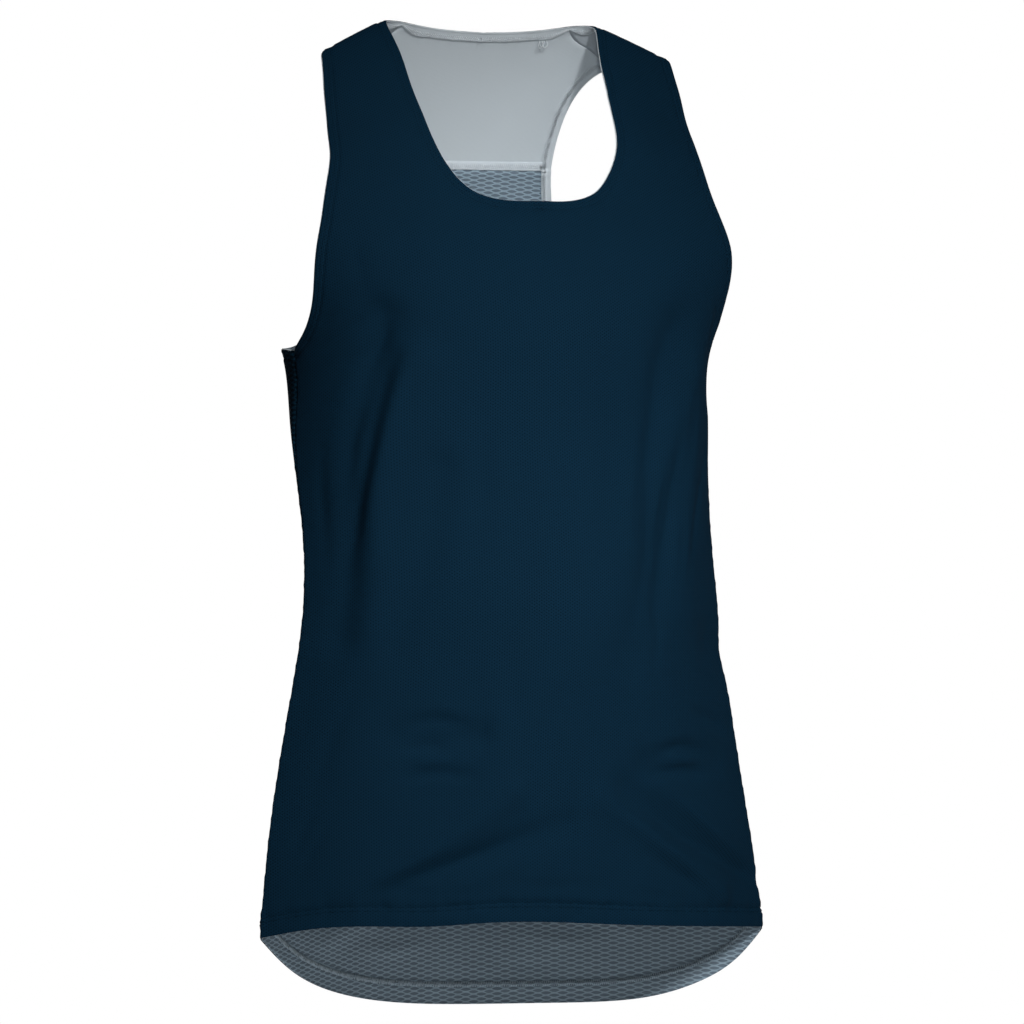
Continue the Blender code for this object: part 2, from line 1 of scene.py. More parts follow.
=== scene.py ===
"""The looks of a running singlet: thin cloth with its creases, turned edges, stitching, knits and a studio.

The front faces -Y and the wearer's left is +X. The cloth is drawn on the same torso as the panels, which
it replaces. A place on it is a pair:
  angle  degrees round from the centre line, plus towards the wearer's left,
  climb  the signed square root of the drop below the top of the shoulder, plus in front, minus behind.
Sizes are in metres, and the tables that give one half only are the half at the wearer's left.
"""

import math
from collections import namedtuple

import bpy
import numpy as np
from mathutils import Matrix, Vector


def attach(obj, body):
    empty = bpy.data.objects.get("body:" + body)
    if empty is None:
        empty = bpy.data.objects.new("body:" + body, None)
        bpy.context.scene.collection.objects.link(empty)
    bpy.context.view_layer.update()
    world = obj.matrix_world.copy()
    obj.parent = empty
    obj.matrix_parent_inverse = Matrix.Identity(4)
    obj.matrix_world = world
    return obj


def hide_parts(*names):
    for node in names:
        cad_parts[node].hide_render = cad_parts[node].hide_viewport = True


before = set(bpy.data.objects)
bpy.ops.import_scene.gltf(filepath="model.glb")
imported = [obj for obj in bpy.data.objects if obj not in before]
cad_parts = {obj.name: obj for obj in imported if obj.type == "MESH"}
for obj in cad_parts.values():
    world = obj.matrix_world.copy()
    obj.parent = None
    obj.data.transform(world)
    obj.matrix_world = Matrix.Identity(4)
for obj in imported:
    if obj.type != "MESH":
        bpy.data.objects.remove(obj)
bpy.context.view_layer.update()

# ---------- cloth ----------
CLOTH = 0.0007  # thickness of the cloth as it shows
TURNED_CLOTH = 0.0005  # thickness of an edge that is turned inside
TURNED_DEPTH = 0.0008  # how far inside the outer face it lies
NECK_TURNING = 0.007
ARM_TURNING = 0.007
HEM_TURNING = 0.015
YOKE_ALLOWANCE_DROP = 0.100

# ---------- where the panels end ----------
SIDE_HEM_DROP = 0.664
UNDERARM_DROP = 0.2435
YOKE_SEAM_DROP = 0.106
FRONT_NECK_DROP = 0.1345
BACK_NECK_DROP = 0.0080

# ---------- the torso ----------
Section = namedtuple("Section", "drop half_width side_y front_depth back_depth flatness")
TORSO = [
    Section(0.000, 0.166, 0.000, 0.0000, 0.0000, 0.0),
    Section(0.010, 0.166, 0.000, 0.0115, 0.0130, 0.0),
    Section(0.030, 0.168, -0.001, 0.0255, 0.0290, 0.0),
    Section(0.060, 0.173, -0.002, 0.0460, 0.0480, 0.0),
    Section(0.095, 0.190, -0.003, 0.0680, 0.0650, 0.0),
    Section(0.131, 0.208, -0.005, 0.0770, 0.0780, 0.0),
    Section(0.165, 0.210, -0.007, 0.0940, 0.0880, 0.0),
    Section(0.204, 0.186, -0.009, 0.1050, 0.0950, 0.0),
    Section(0.241, 0.166, -0.012, 0.1080, 0.0970, 0.0),
    Section(0.300, 0.1655, -0.020, 0.1000, 0.0950, 0.25),
    Section(0.365, 0.1640, -0.033, 0.0920, 0.0900, 0.6),
    Section(0.430, 0.1665, -0.042, 0.0870, 0.0880, 0.85),
    Section(0.490, 0.1755, -0.041, 0.0850, 0.0860, 1.0),
    Section(0.580, 0.1915, -0.040, 0.0820, 0.0860, 1.0),
    Section(0.664, 0.202, -0.045, 0.0800, 0.0870, 1.0),
    Section(0.730, 0.206, -0.045, 0.0800, 0.0870, 1.0),
]
NECK_HALF_WIDTH = 0.084
SHOULDER_SLOPE = 0.480
SHOULDER_FORWARD = 0.24
SHOULDER_SOFTNESS = 0.010
SHOULDER_FADE = 0.150

# ---------- edges and seams ----------
SIDE_ANGLE = 90
SIDE_SEAM_FORWARD = 4
SIDE_SEAM_FADE = 0.100
Edge = namedtuple("Edge", "angle drop")
NECK = [
    Edge(0.0, FRONT_NECK_DROP),
    Edge(8.0, 0.1340),
    Edge(12.4, 0.1300),
    Edge(16.2, 0.1210),
    Edge(19.2, 0.1100),
    Edge(22.5, 0.0940),
    Edge(25.4, 0.0720),
    Edge(27.6, 0.0480),
    Edge(29.0, 0.0200),
    Edge(29.4, 0.0),
    Edge(27.8, -0.0005),
    Edge(23.6, -0.0021),
    Edge(18.0, -0.0044),
    Edge(10.0, -0.0068),
    Edge(0.0, -BACK_NECK_DROP),
]
NECK_AT_SHOULDER, NECK_AT_NAPE = 11, 14
ARMHOLE = [
    Edge(SIDE_ANGLE - SIDE_SEAM_FORWARD, UNDERARM_DROP),
    Edge(77.5, 0.2335),
    Edge(68.9, 0.2190),
    Edge(58.8, 0.1920),
    Edge(51.2, 0.1620),
    Edge(48.5, 0.1320),
    Edge(51.6, 0.0940),
    Edge(57.0, 0.0600),
    Edge(58.3, 0.0340),
    Edge(58.0, 0.0120),
    Edge(56.5, 0.0),
    Edge(47.0, -0.0100),
    Edge(38.0, -0.0230),
    Edge(31.0, -0.0450),
    Edge(26.3, -0.0740),
    Edge(23.6, -YOKE_ALLOWANCE_DROP),
    Edge(23.2, -YOKE_SEAM_DROP),
    Edge(23.0, -0.1300),
    Edge(26.0, -0.1650),
    Edge(36.0, -0.2050),
    Edge(42.5, -0.2260),
    Edge(54.0, -0.2385),
    Edge(71.0, -0.2415),
    Edge(SIDE_ANGLE + SIDE_SEAM_FORWARD, -UNDERARM_DROP),
]
ARM_AT_SHOULDER, ARM_AT_ALLOWANCE, ARM_AT_YOKE = 12, 15, 16
ARM_FRONT_END, ARM_BACK_END = 0, 23
SHOULDER_SEAM = [
    Edge(23.6, -0.0021),
    Edge(25.4, -0.0085),
    Edge(31.0, -0.0155),
    Edge(38.0, -0.0230),
]
SHOULDER_NECK_STEP = 0.0075
SHOULDER_ARM_STEP = 0.0075
FRONT_HEM = [
    Edge(-90.0, SIDE_HEM_DROP),
    Edge(-76.0, 0.6570),
    Edge(-43.0, 0.6550),
    Edge(-28.0, 0.6530),
    Edge(22.0, 0.6560),
    Edge(65.0, 0.6610),
    Edge(90.0, SIDE_HEM_DROP),
]
TAIL = [
    Edge(-90.0, SIDE_HEM_DROP),
    Edge(-72.0, 0.6900),
    Edge(-59.0, 0.7025),
    Edge(-45.0, 0.7110),
    Edge(-28.0, 0.7170),
    Edge(0.0, 0.7205),
    Edge(28.0, 0.7208),
    Edge(45.0, 0.7200),
    Edge(59.0, 0.7160),
    Edge(73.0, 0.7040),
    Edge(83.0, 0.6860),
    Edge(90.0, SIDE_HEM_DROP),
]
FRONT_HEM_REACH = 0.10
TAIL_REACH = 0.35

# ---------- folds and creases ----------
# Each row is a path of (degrees round from the centre front, drop), a half width, and heights that are
# spread evenly along the path: plus is a ridge and minus a trough. A height that stands alone is the one
# at the middle, and both ends fade out. Lengths in these two tables are in millimetres.
# The folds are the panels' own, and the creases are finer.
ARC = 0.00245  # metres round the torso for each degree
MILLIMETRES = 1000  # in a metre
FOLDS = [
    ([(-44, 218), (-56, 279), (-66, 336), (-73, 393), (-77, 450)], 13, -5, -3),
    ([(-38, 250), (-51, 305), (-62, 370), (-68, 440)], 14, 4, 2),
    ([(-37, 330), (-46, 380), (-60, 450)], 15, -3, -2),
    ([(38, 230), (34, 314), (36, 387), (31, 451)], 22, -5, -3),
    ([(52, 260), (56, 340), (60, 430)], 20, 3, 2),
    ([(10, 340), (8, 460)], 30, 2, 2),
    ([(-18, 560), (-40, 600), (-66, 634)], 12, 4, 3),
    ([(2, 584), (-30, 608), (-58, 636)], 12, -3, -3),
    ([(16, 566), (42, 606), (68, 636)], 12, 3, 3),
    ([(27, 558), (58, 592), (82, 620)], 11, -3, -3),
    ([(-58, 520), (-30, 520)], 11, -2, -3),
    ([(36, 542), (74, 542)], 11, -3, -2),
    ([(140, 220), (146, 340), (152, 470)], 22, -5, -3),
    ([(-142, 230), (-150, 350), (-146, 480)], 20, -5, -3),
    ([(172, 250), (176, 420)], 30, 4, 2),
    ([(128, 480), (158, 530), (-176, 560)], 14, 3, 2),
    ([(-126, 500), (-154, 550), (178, 585)], 14, -3, -2),
    ([(132, 600), (150, 640)], 14, -3, -3),
    ([(78, 455), (104, 470)], 19, -3, -3),
]
CREASES = [
    # the pull from the right armhole down to the side
    ([(-42, 233), (-49, 268), (-56, 311), (-66, 354), (-76, 411)], 5, 0, -1.7, -1.9, -1.6, 0),
    ([(-39, 229), (-45, 268), (-52, 311), (-62, 354), (-73, 411)], 4.6, 0, 1.3, 1.5, 1.2, 0),
    ([(-43, 217), (-47, 235), (-52, 250), (-60, 274)], 4.2, 0, -1.9, -1.7, 0),
    ([(-41, 222), (-44, 240), (-49, 256)], 4, 1),
    ([(-50, 268), (-60, 310), (-69, 356)], 5, 2.1),
    ([(-45, 212), (-53, 224), (-61, 234), (-74, 245)], 4.4, 0, -2, -1.8, -0.9),
    ([(-43, 232), (-60, 252), (-76, 272)], 5, -1.4),
    ([(-56, 212), (-70, 231)], 4, -0.9),
    ([(-74, 300), (-80, 350), (-83, 420)], 5.5, -1.5),
    ([(-38.5, 236), (-47.5, 293), (-59.5, 351), (-70.5, 422)], 9, 0, 2.2, 2.6, 2, 0),
    ([(-41, 236), (-52, 293), (-63, 351), (-71, 422), (-73, 500), (-70, 580)], 34, 0, 4.5, 5.5, 5, 3, 0),
    # the hollow below the left chest, with small puckers
    ([(55, 262), (49, 314), (46, 364), (44, 414), (43, 450)], 13, 0, -4, -5.5, -4.5, 0),
    ([(40, 205), (34, 250), (33, 314), (36, 387), (31, 451)], 9, 0, -1.8, -3, -2.4, 0),
    ([(48, 262), (50, 318), (47, 372)], 6, 1.8),
    ([(41, 318), (42, 350), (40, 386)], 4.2, -1.5),
    ([(46, 330), (48, 362), (47, 402)], 4.2, -1.4),
    ([(53, 344), (55, 384), (54, 420)], 4.5, -1.2),
    ([(27, 296), (25, 350), (27, 400)], 6, 1.4),
    ([(38, 402), (44, 446), (41, 486)], 6, -1.6),
    ([(52, 236), (41, 300), (36, 350), (33, 420), (32, 470)], 30, 0, 3.5, 4.5, 3, 0),
    # creases from the left armhole
    ([(50, 196), (62, 222), (74, 262)], 5, -1.4),
    ([(58, 212), (70, 262), (78, 330)], 6, -1.6),
    ([(64, 230), (74, 290), (80, 372)], 6, 1.6),
    ([(72, 300), (66, 360), (58, 430)], 7, -1.8),
    # long faint pulls down the front
    ([(-20, 260), (-24, 340), (-36, 430)], 10, -1.5),
    ([(-6, 230), (-5, 330), (-10, 440)], 12, 1.4),
    ([(16, 220), (17, 330), (14, 430)], 11, -1.2),
    ([(-28, 450), (-24, 510), (-30, 560)], 11, 1.5),
    ([(4, 470), (12, 520), (10, 570)], 12, -1.4),
    # level creases at the right hip
    ([(-57, 511), (-46, 507), (-33, 511)], 4.3, 0, -2.1, -2.1, 0),
    ([(-57, 529), (-47, 526), (-39, 529)], 4, 0, -1.8, -1.8, 0),
    ([(-56, 549), (-42, 545), (-28, 549)], 4.3, 0, -2.1, -2.1, 0),
    ([(-52, 538), (-38, 536)], 4.7, 0, 1.6, 1.6, 0),
    # level creases at the left hip
    ([(39, 533), (56, 529), (73, 534)], 3.8, 0, -2.9, -2.9, 0),
    ([(34, 549), (56, 546), (77, 552)], 3.8, 0, -2.7, -2.7, 0),
    ([(44, 541), (66, 540)], 4.3, 0, 2.3, 2.3, 0),
    ([(60, 503), (74, 510), (84, 520)], 4.3, 0, -2.1, -2.1, 0),
    # the drape that falls to both corners of the hem
    ([(-21, 565), (-42, 598), (-63, 633)], 7, 0, 2.5, 1.2),
    ([(0, 580), (-26, 602), (-52, 622), (-65, 636)], 6.5, 0, -2.7, -3.1, -1.2),
    ([(-6, 600), (-30, 622), (-50, 640)], 6, 2),
    ([(16, 566), (42, 602), (67, 635)], 6.6, 0, 3.8, 1.8),
    ([(25, 563), (56, 598), (88, 630)], 6.2, 0, -4.4, -2.5),
    ([(39, 553), (62, 584), (84, 615)], 5.7, 0, 3.4, 1.8),
    ([(30, 600), (52, 626), (64, 644)], 5.7, -3.1),
    ([(-77, 562), (-81, 592), (-84, 622)], 4.5, -1.8),
    ([(-72, 572), (-78, 604), (-82, 636)], 4.5, -1.6),
    ([(-68, 470), (-76, 520), (-80, 566)], 6, -1.6),
    # the straps
    ([(34, 60), (38, 90), (36, 120)], 6, -0.8),
    ([(-36, 66), (-40, 100), (-38, 130)], 6, -0.9),
    ([(-40, 150), (-44, 182), (-47, 208)], 5, -1.2),
    ([(-14, 152), (-26, 166), (-38, 190)], 7, 0.9),
    # the back, seen from behind
    ([(140, 214), (144, 290), (150, 370), (152, 460)], 9, 0, -2.1, -2.7, 0),
    ([(132, 240), (130, 320), (136, 410)], 7, 1.8),
    ([(-142, 224), (-148, 300), (-150, 380), (-146, 470)], 9, 0, -2.3, -2.4, 0),
    ([(-128, 250), (-130, 330), (-124, 400)], 7, 1.6),
    ([(112, 262), (122, 330), (120, 410)], 6, -1.6),
    ([(-108, 258), (-118, 322), (-116, 398)], 6, -1.8),
    ([(158, 140), (150, 180), (136, 228)], 6, -1.2),
    ([(-156, 144), (-148, 186), (-132, 232)], 6, -1.4),
    ([(168, 300), (174, 380), (170, 450)], 10, -1.5),
    ([(120, 508), (140, 500), (158, 510)], 5, -1.8),
    ([(118, 528), (138, 522), (150, 530)], 5, -1.5),
    ([(-116, 520), (-136, 514), (-152, 522)], 5, -1.8),
    ([(-120, 542), (-140, 538), (-158, 546)], 5, -1.6),
    ([(170, 590), (146, 624), (118, 652)], 7, 0, 1.9, 0.9),
    ([(176, 606), (152, 640), (126, 668)], 6.5, 0, -2.1, -0.9),
    ([(-168, 596), (-142, 630), (-116, 656)], 7, 0, 1.8, 0.9),
    ([(-174, 616), (-148, 648), (-122, 672)], 6.5, 0, -2.1, -0.9),
    ([(98, 560), (96, 600), (94, 640)], 4.5, -1.5),
    ([(-98, 566), (-95, 606), (-93, 644)], 4.5, -1.6),
    ([(-34, 640), (0, 650), (34, 642)], 30, 0, -4, -5, -4, 0),
    # small diagonal puckers at the front hem
    ([(-60, 636), (-54, 646)], 2.8, 0, -1.4, -0.9),
    ([(-57, 644), (-50, 652)], 2.6, 0.8, 1.2, 0),
    ([(-20, 636), (-15, 648)], 2.8, 0, -1.2, -0.8),
    ([(2, 640), (8, 650)], 2.8, 0, -1.4, -0.9),
    ([(30, 640), (36, 651)], 3, 0, -1, -0.8),
    ([(52, 642), (57, 654)], 2.8, 0, -1, -0.6),
    ([(-40, 634), (-34, 645)], 2.6, 0, -1.2, -0.8),
    ([(-31, 640), (-26, 650)], 2.4, 0.9),
    ([(-10, 637), (-4, 648)], 2.6, 0, -1.1, -0.7),
    ([(16, 640), (22, 651)], 2.6, 0, -1.1, -0.8),
    ([(42, 641), (47, 652)], 2.6, 1),
    ([(66, 646), (72, 656)], 2.6, 0, -1, -0.6),
    # long creases that run nearly level by the front hem
    ([(-62, 627), (-42, 632), (-22, 630)], 3.6, 0, -1.3, -1, 0),
    ([(-50, 646), (-34, 642), (-14, 643)], 3, -1.1),
    ([(-24, 622), (-4, 628), (18, 625)], 4, -1.2),
    ([(-6, 634), (14, 638), (30, 636)], 3.4, 1),
    ([(20, 632), (40, 638), (58, 643)], 3.6, 0, -1.2, -0.8, 0),
    ([(48, 628), (64, 638), (80, 646)], 3.6, 1.1),
    ([(-52, 658), (-38, 654), (-24, 655)], 2.6, -0.8),
    ([(6, 652), (22, 656), (36, 655)], 2.6, -0.8),
    ([(48, 658), (62, 661), (74, 662)], 2.6, -0.8),
    # the same by the back hem
    ([(164, 668), (148, 676), (130, 672)], 3.6, -1.1),
    ([(-172, 672), (-152, 680), (-134, 676)], 3.6, -1.1),
    ([(172, 690), (158, 694), (146, 692)], 3, 0.8),
]
Fold = namedtuple("Fold", "path half_width heights")


def in_metres(path, half_width, *heights):
    """A fold from a row of the tables."""
    path = [(angle, drop / MILLIMETRES) for angle, drop in path]
    if len(heights) == 1:
        heights = (0, *heights, 0)
    return Fold(path, half_width / MILLIMETRES, [height / MILLIMETRES for height in heights])


ALL_FOLDS = [in_metres(*row) for row in FOLDS + CREASES]

# ---------- how finely the cloth is drawn ----------
FINE_STEPS = 400  # for measuring a line's length
NUDGE_ANGLE = 0.2
NUDGE_CLIMB = 0.0004
NORMAL_ANGLE = 2.0  # steps for the way that the cloth faces, wide enough to turn softly at the sides
NORMAL_CLIMB = 0.0020
RIDGE_SPACING = 0.35
TINY_ANGLE = 1e-6  # degrees that count as none
WELD_DIGITS = 6
SIDE_ROWS = 124
CHEST_ROWS = 4  # these rows are the panels' own, and each is divided into finer ones
STRAP_ROWS = 14
YOKE_ROWS = 4
NAPE_ROWS = 5
RACER_ROWS = 9
RACER_LEAN = 1.85
FINER = 5
SHARES = np.concatenate([np.linspace(0, 0.975, 66), [0.984, 0.991, 0.996, 1.0]])  # across half a panel
TURNING_SHARES = np.array([0, 0.09, 0.22, 0.37, 0.52, 0.66, 0.80, 0.94, 1.0])  # across a turned edge
ROLLED_OUT = -0.07  # the turned side of an edge stands this share of its width beyond the cloth
HEM_SHARES = np.array([0, 0.03, 0.08, 0.2, 0.35, 0.5, 0.62, 0.73, 0.80, 0.87, 0.93, 1.0])  # up a turned hem

# ---------- grooves along edges, seams and stitching ----------
Groove = namedtuple("Groove", "depth half_width ripple ripple_reach")
GROOVE_END = 3  # reaches away from its line, where nothing is left of a groove
EDGE_ROLL = Groove(0.0005, 0.0009, 0.0, 0.001)
INNER_STITCH = Groove(0.00060, 0.0010, 0.00022, 0.0050)
OUTER_STITCH = Groove(0.00045, 0.0008, 0.00010, 0.0040)
HEM_STITCH = Groove(0.00120, 0.0012, 0.00085, 0.0080)
TAIL_STITCH = Groove(0.00030, 0.0010, 0.00035, 0.0080)
SEAM = Groove(0.00080, 0.0011, 0.00025, 0.0060)
SHOULDER_ROLL = Groove(-0.00060, 0.0016, 0.00020, 0.0050)  # the shoulder seam stands up
RIPPLES = [(0.0085, 0.60, 0.7), (0.0143, 0.45, 2.1), (0.0310, 0.35, 0.2)]  # length, share and start of each

# ---------- stitching ----------
STITCH_SHARES = (0.52, 0.94)  # the two needle lines across a turned edge
HEM_STITCH_SHARES = (0.73, 0.93)
TAIL_LOOPER_SHARES = (0.84, 1.09)  # it covers the raw edge
THREAD = 0.00022  # radius
LOOPER = 0.00030
HEM_LOOPER = 0.00040
STITCH_LENGTH = 0.0026  # of a needle line
STITCH_POINTS = 4  # of the thread's path in each stitch
SUNK = 0.9  # of the thread's radius, where it lies deepest in the cloth
ZIGZAG = 0.0015  # from one point of the looper thread to the next on the same side
LOOPER_DEPTH = TURNED_DEPTH + TURNED_CLOTH + LOOPER / 2  # on the inside of the turned cloth
LOOP_HEIGHT = 0.0030  # of the thread ends at the back neck
LOOP_STEPS = 12
THREAD_ENDS = [
    [Edge(16.2, -0.0120), Edge(16.5, -0.0140), Edge(17.2, -0.0148), Edge(17.7, -0.0118)],
    [Edge(17.0, -0.0122), Edge(17.7, -0.0152), Edge(18.5, -0.0140), Edge(18.2, -0.0115)],
    [Edge(16.7, -0.0125), Edge(16.0, -0.0145), Edge(16.8, -0.0160), Edge(17.7, -0.0130)],
    [Edge(17.3, -0.0118), Edge(17.2, -0.0142), Edge(18.0, -0.0158), Edge(18.9, -0.0140)],
]

# ---------- knits ----------
DASH_ACROSS = 0.0018  # from one column of dashes to the next
DASH_DOWN = 0.0022
DASH_NARROWING = 3.0  # how much narrower a dash is than the ground beside it
DASH_EDGE = (0.10, 0.70)  # where the ground ends and the dash is at its deepest
MESH_ACROSS = 0.0125
MESH_DOWN = 0.00365
LENS_EDGE = (0.45, 0.95)  # where the net ends and the hollow is at its deepest
RIB = 0.0009
Wear = namedtuple("Wear", "relief patch_size patch_share")  # how high the pattern is, and how uneven the tone
PIQUE_WEAR = Wear(0.00012, 0.060, 0.06)
RIB_WEAR = Wear(0.00004, 0.050, 0.03)
MESH_WEAR = Wear(0.00025, 0.040, 0.05)
PLAIN_WEAR = Wear(0.0, 0.030, 0.04)
LATTICE_ANGLE = 96  # the cloth is measured this far round
LATTICE_CLIMB = 0.88
LATTICE_STEPS = 352


def spline(knots, values):
    """A natural cubic spline through values at knots."""
    knots = np.asarray(knots, float)
    values = np.asarray(values, float)
    count = len(knots)
    step = np.diff(knots)
    slope = np.diff(values, axis=0) / step.reshape(-1, *[1] * (values.ndim - 1))
    matrix = np.eye(count)
    right = np.zeros_like(values)
    for i in range(1, count - 1):
        matrix[i, i - 1 : i + 2] = step[i - 1], 2 * (step[i - 1] + step[i]), step[i]
        right[i] = 6 * (slope[i] - slope[i - 1])
    bend = np.linalg.solve(matrix, right)

    def at(where):
        where = np.clip(np.asarray(where, float), knots[0], knots[-1])
        i = np.clip(np.searchsorted(knots, where) - 1, 0, count - 2)
        shape = where.shape + (1,) * (values.ndim - 1)
        before = (where - knots[i]).reshape(shape)
        after = (knots[i + 1] - where).reshape(shape)
        width = step[i].reshape(shape)
        curve = (bend[i] * after**3 + bend[i + 1] * before**3) / (6 * width)
        left = (values[i] / width - bend[i] * width / 6) * after
        return curve + left + (values[i + 1] / width - bend[i + 1] * width / 6) * before

    return at


def climb_of(drop):
    return np.sign(drop) * np.sqrt(np.abs(drop))


def table_line(rows):
    """The drop of a line as a function of its angle."""
    return spline([row.angle for row in rows], [row.drop for row in rows])


torso_at = spline([math.sqrt(s.drop) for s in TORSO], [s[1:] for s in TORSO])
front_hem_at = table_line(FRONT_HEM)
tail_at = table_line(TAIL)


def outside_neck(x):
    """How far x is outside the neck, rounded off where the shoulder begins."""
    out = np.abs(x) - NECK_HALF_WIDTH
    return (np.sqrt(out * out + SHOULDER_SOFTNESS**2) + out) / 2


def smooth_step(value):
    value = np.clip(value, 0, 1)
    return value * value * (3 - 2 * value)


def side_seam_at(drop):
    """The side seam's angle on a front half."""
    return SIDE_ANGLE - SIDE_SEAM_FORWARD * smooth_step(1 - (drop - UNDERARM_DROP) / SIDE_SEAM_FADE)


def torso_point(angle, climb):
    """The point of the bare torso at an angle and a climb."""
    half_width, side_y, front_depth, back_depth, flat = np.moveaxis(torso_at(np.abs(climb)), -1, 0)
    drop = climb * climb
    turn = np.radians(angle)
    quarter = np.abs(angle) / SIDE_ANGLE
    past_side = quarter > 1
    run = np.where(past_side, 2 - quarter, quarter)
    lens_x = np.sign(angle) * run
    lens_y = np.where(past_side, -1, 1) * (1 - run * run)
    across = (1 - flat) * np.sin(turn) + flat * lens_x
    deep = (1 - flat) * np.cos(turn) + flat * lens_y
    facing = np.where(climb >= 0, -1.0, 1.0)
    depth = np.where(facing * deep < 0, front_depth, back_depth)
    x = half_width * across
    shoulder = outside_neck(x) * smooth_step(1 - drop / SHOULDER_FADE)
    y = side_y + facing * depth * deep - SHOULDER_FORWARD * shoulder
    z = -drop - SHOULDER_SLOPE * shoulder
    return np.stack([x, y, z], -1)


def slopes(surface, angle, climb, angle_step=NUDGE_ANGLE, climb_step=NUDGE_CLIMB):
    """How the surface moves with the angle and with the climb."""
    with_angle = surface(angle + angle_step, climb) - surface(angle - angle_step, climb)
    with_climb = surface(angle, climb + climb_step) - surface(angle, climb - climb_step)
    return with_angle / (2 * angle_step), with_climb / (2 * climb_step)


def outward(surface, angle, climb):
    """The unit normal that points out of the garment."""
    with_angle, with_climb = slopes(surface, angle, climb, NORMAL_ANGLE, NORMAL_CLIMB)
    normal = np.cross(with_climb, with_angle)
    return normal / np.linalg.norm(normal, axis=-1, keepdims=True)


def shortest_turn(degrees):
    """The same turn, the shorter way round."""
    return (degrees + 2 * SIDE_ANGLE) % (4 * SIDE_ANGLE) - 2 * SIDE_ANGLE


def path_fade(along_round, drop, fold):
    """How near each place is to a fold's path, 1 on it, and the height of the fold there."""
    best = np.full(drop.shape, np.inf)
    done = np.zeros(drop.shape)
    spans = len(fold.path) - 1
    for i in range(spans):
        (angle_a, drop_a), (angle_b, drop_b) = fold.path[i], fold.path[i + 1]
        from_a = shortest_turn(along_round - angle_a) * ARC
        run = shortest_turn(angle_b - angle_a) * ARC
        fall = drop_b - drop_a
        share = np.clip((from_a * run + (drop - drop_a) * fall) / (run * run + fall * fall), 0, 1)
        distance = np.hypot(from_a - share * run, drop - drop_a - share * fall)
        nearer = distance < best
        best = np.where(nearer, distance, best)
        done = np.where(nearer, (i + share) / spans, done)
    height = np.interp(done, np.linspace(0, 1, len(fold.heights)), fold.heights)
    return np.exp(-((best / fold.half_width) ** 2)), height


def fold_height(angle, climb):
    """How far the cloth stands off the torso at its folds and creases."""
    past = 2 * SIDE_ANGLE * np.where(angle < 0, -1, 1) - angle
    along_round = np.where(climb >= 0, angle, past)
    drop = climb * climb
    total = np.zeros(drop.shape)
    for fold in ALL_FOLDS:
        near, height = path_fade(along_round, drop, fold)
        total += near * height
    return total


def cloth_point(angle, climb):
    """The point of the cloth's outer face."""
    off = fold_height(angle, climb)[..., None]
    return torso_point(angle, climb) + off * outward(torso_point, angle, climb)


class Line:
    """A smooth line on the cloth through the rows of a table."""

    def __init__(self, rows):
        knots = np.array([(row.angle, climb_of(row.drop)) for row in rows])
        points = torso_point(knots[:, 0], knots[:, 1])
        chord = np.linalg.norm(np.diff(points, axis=0), axis=1)
        at_knot = np.concatenate([[0], np.cumsum(chord)])
        self.place = spline(at_knot, knots)
        self.fine = np.linspace(0, at_knot[-1], FINE_STEPS + 1)
        places = self.place(self.fine)
        points = torso_point(places[:, 0], places[:, 1])
        step = np.linalg.norm(np.diff(points, axis=0), axis=1)
        step += RIDGE_SPACING * np.abs(np.diff(places[:, 1]))
        self.measure = np.concatenate([[0], np.cumsum(step)])
        self.at_row = np.interp(at_knot, self.fine, self.measure)

    def stations(self, first_row, last_row, count, width):
        """Evenly spaced places from one row to another, and places that lie a width inside the cloth."""
        measures = np.linspace(self.at_row[first_row], self.at_row[last_row], count + 1)
        where = np.interp(measures, self.measure, self.fine)
        edge = self.place(where)
        tiny = self.fine[1] / 2
        heading = self.place(where + tiny) - self.place(where - tiny)
        with_angle, with_climb = slopes(torso_point, edge[:, 0], edge[:, 1])
        tangent = with_angle * heading[:, :1] + with_climb * heading[:, 1:]
        inward = np.cross(np.cross(with_climb, with_angle), tangent)
        inward *= width / np.linalg.norm(inward, axis=1, keepdims=True)
        inside = edge.copy()
        for i in range(len(edge)):
            axes = np.stack([with_angle[i], with_climb[i]], 1)
            inside[i] += np.linalg.lstsq(axes, inward[i], rcond=None)[0]
        on_centre = np.abs(edge[:, 0]) < TINY_ANGLE
        inside[on_centre, 0] = 0.0
        edge[on_centre, 0] = 0.0
        return edge, inside

    def row(self, first_step, last_step, shares):
        """Places at shares of the line, which start and end a step inside the line's ends."""
        last = self.measure[-1] - last_step
        measures = first_step + (last - first_step) * shares
        return self.place(np.interp(measures, self.measure, self.fine))


def finer(line):
    """The same smooth line with each step divided into finer ones."""
    steps = len(line) - 1
    return spline(np.arange(steps + 1), line)(np.linspace(0, steps, steps * FINER + 1))


def mirrored(grid):
    return np.asarray(grid) * np.array([-1.0, 1.0])


def between(first, last, shares):
    """Rows of places from each first place to its last place."""
    share = shares[None, :, None]
    return np.asarray(first)[:, None] * (1 - share) + np.asarray(last)[:, None] * share


def hem_grid(levels, facing, hem_at, reach, side):
    """Rows from the centre to the side seam of one half, the lowest of them shaped as the hem."""
    rows = []
    for level in levels:
        seam = side_seam_at(level)
        last = seam if facing > 0 else 2 * SIDE_ANGLE - seam
        angles = side * last * SHARES
        felt = smooth_step((level - (SIDE_HEM_DROP - HEM_TURNING - reach)) / reach)
        drops = level + (hem_at(np.clip(angles, -SIDE_ANGLE, SIDE_ANGLE)) - SIDE_HEM_DROP) * felt
        rows.append(np.stack([angles, facing * np.sqrt(drops)], -1))
    return np.array(rows)


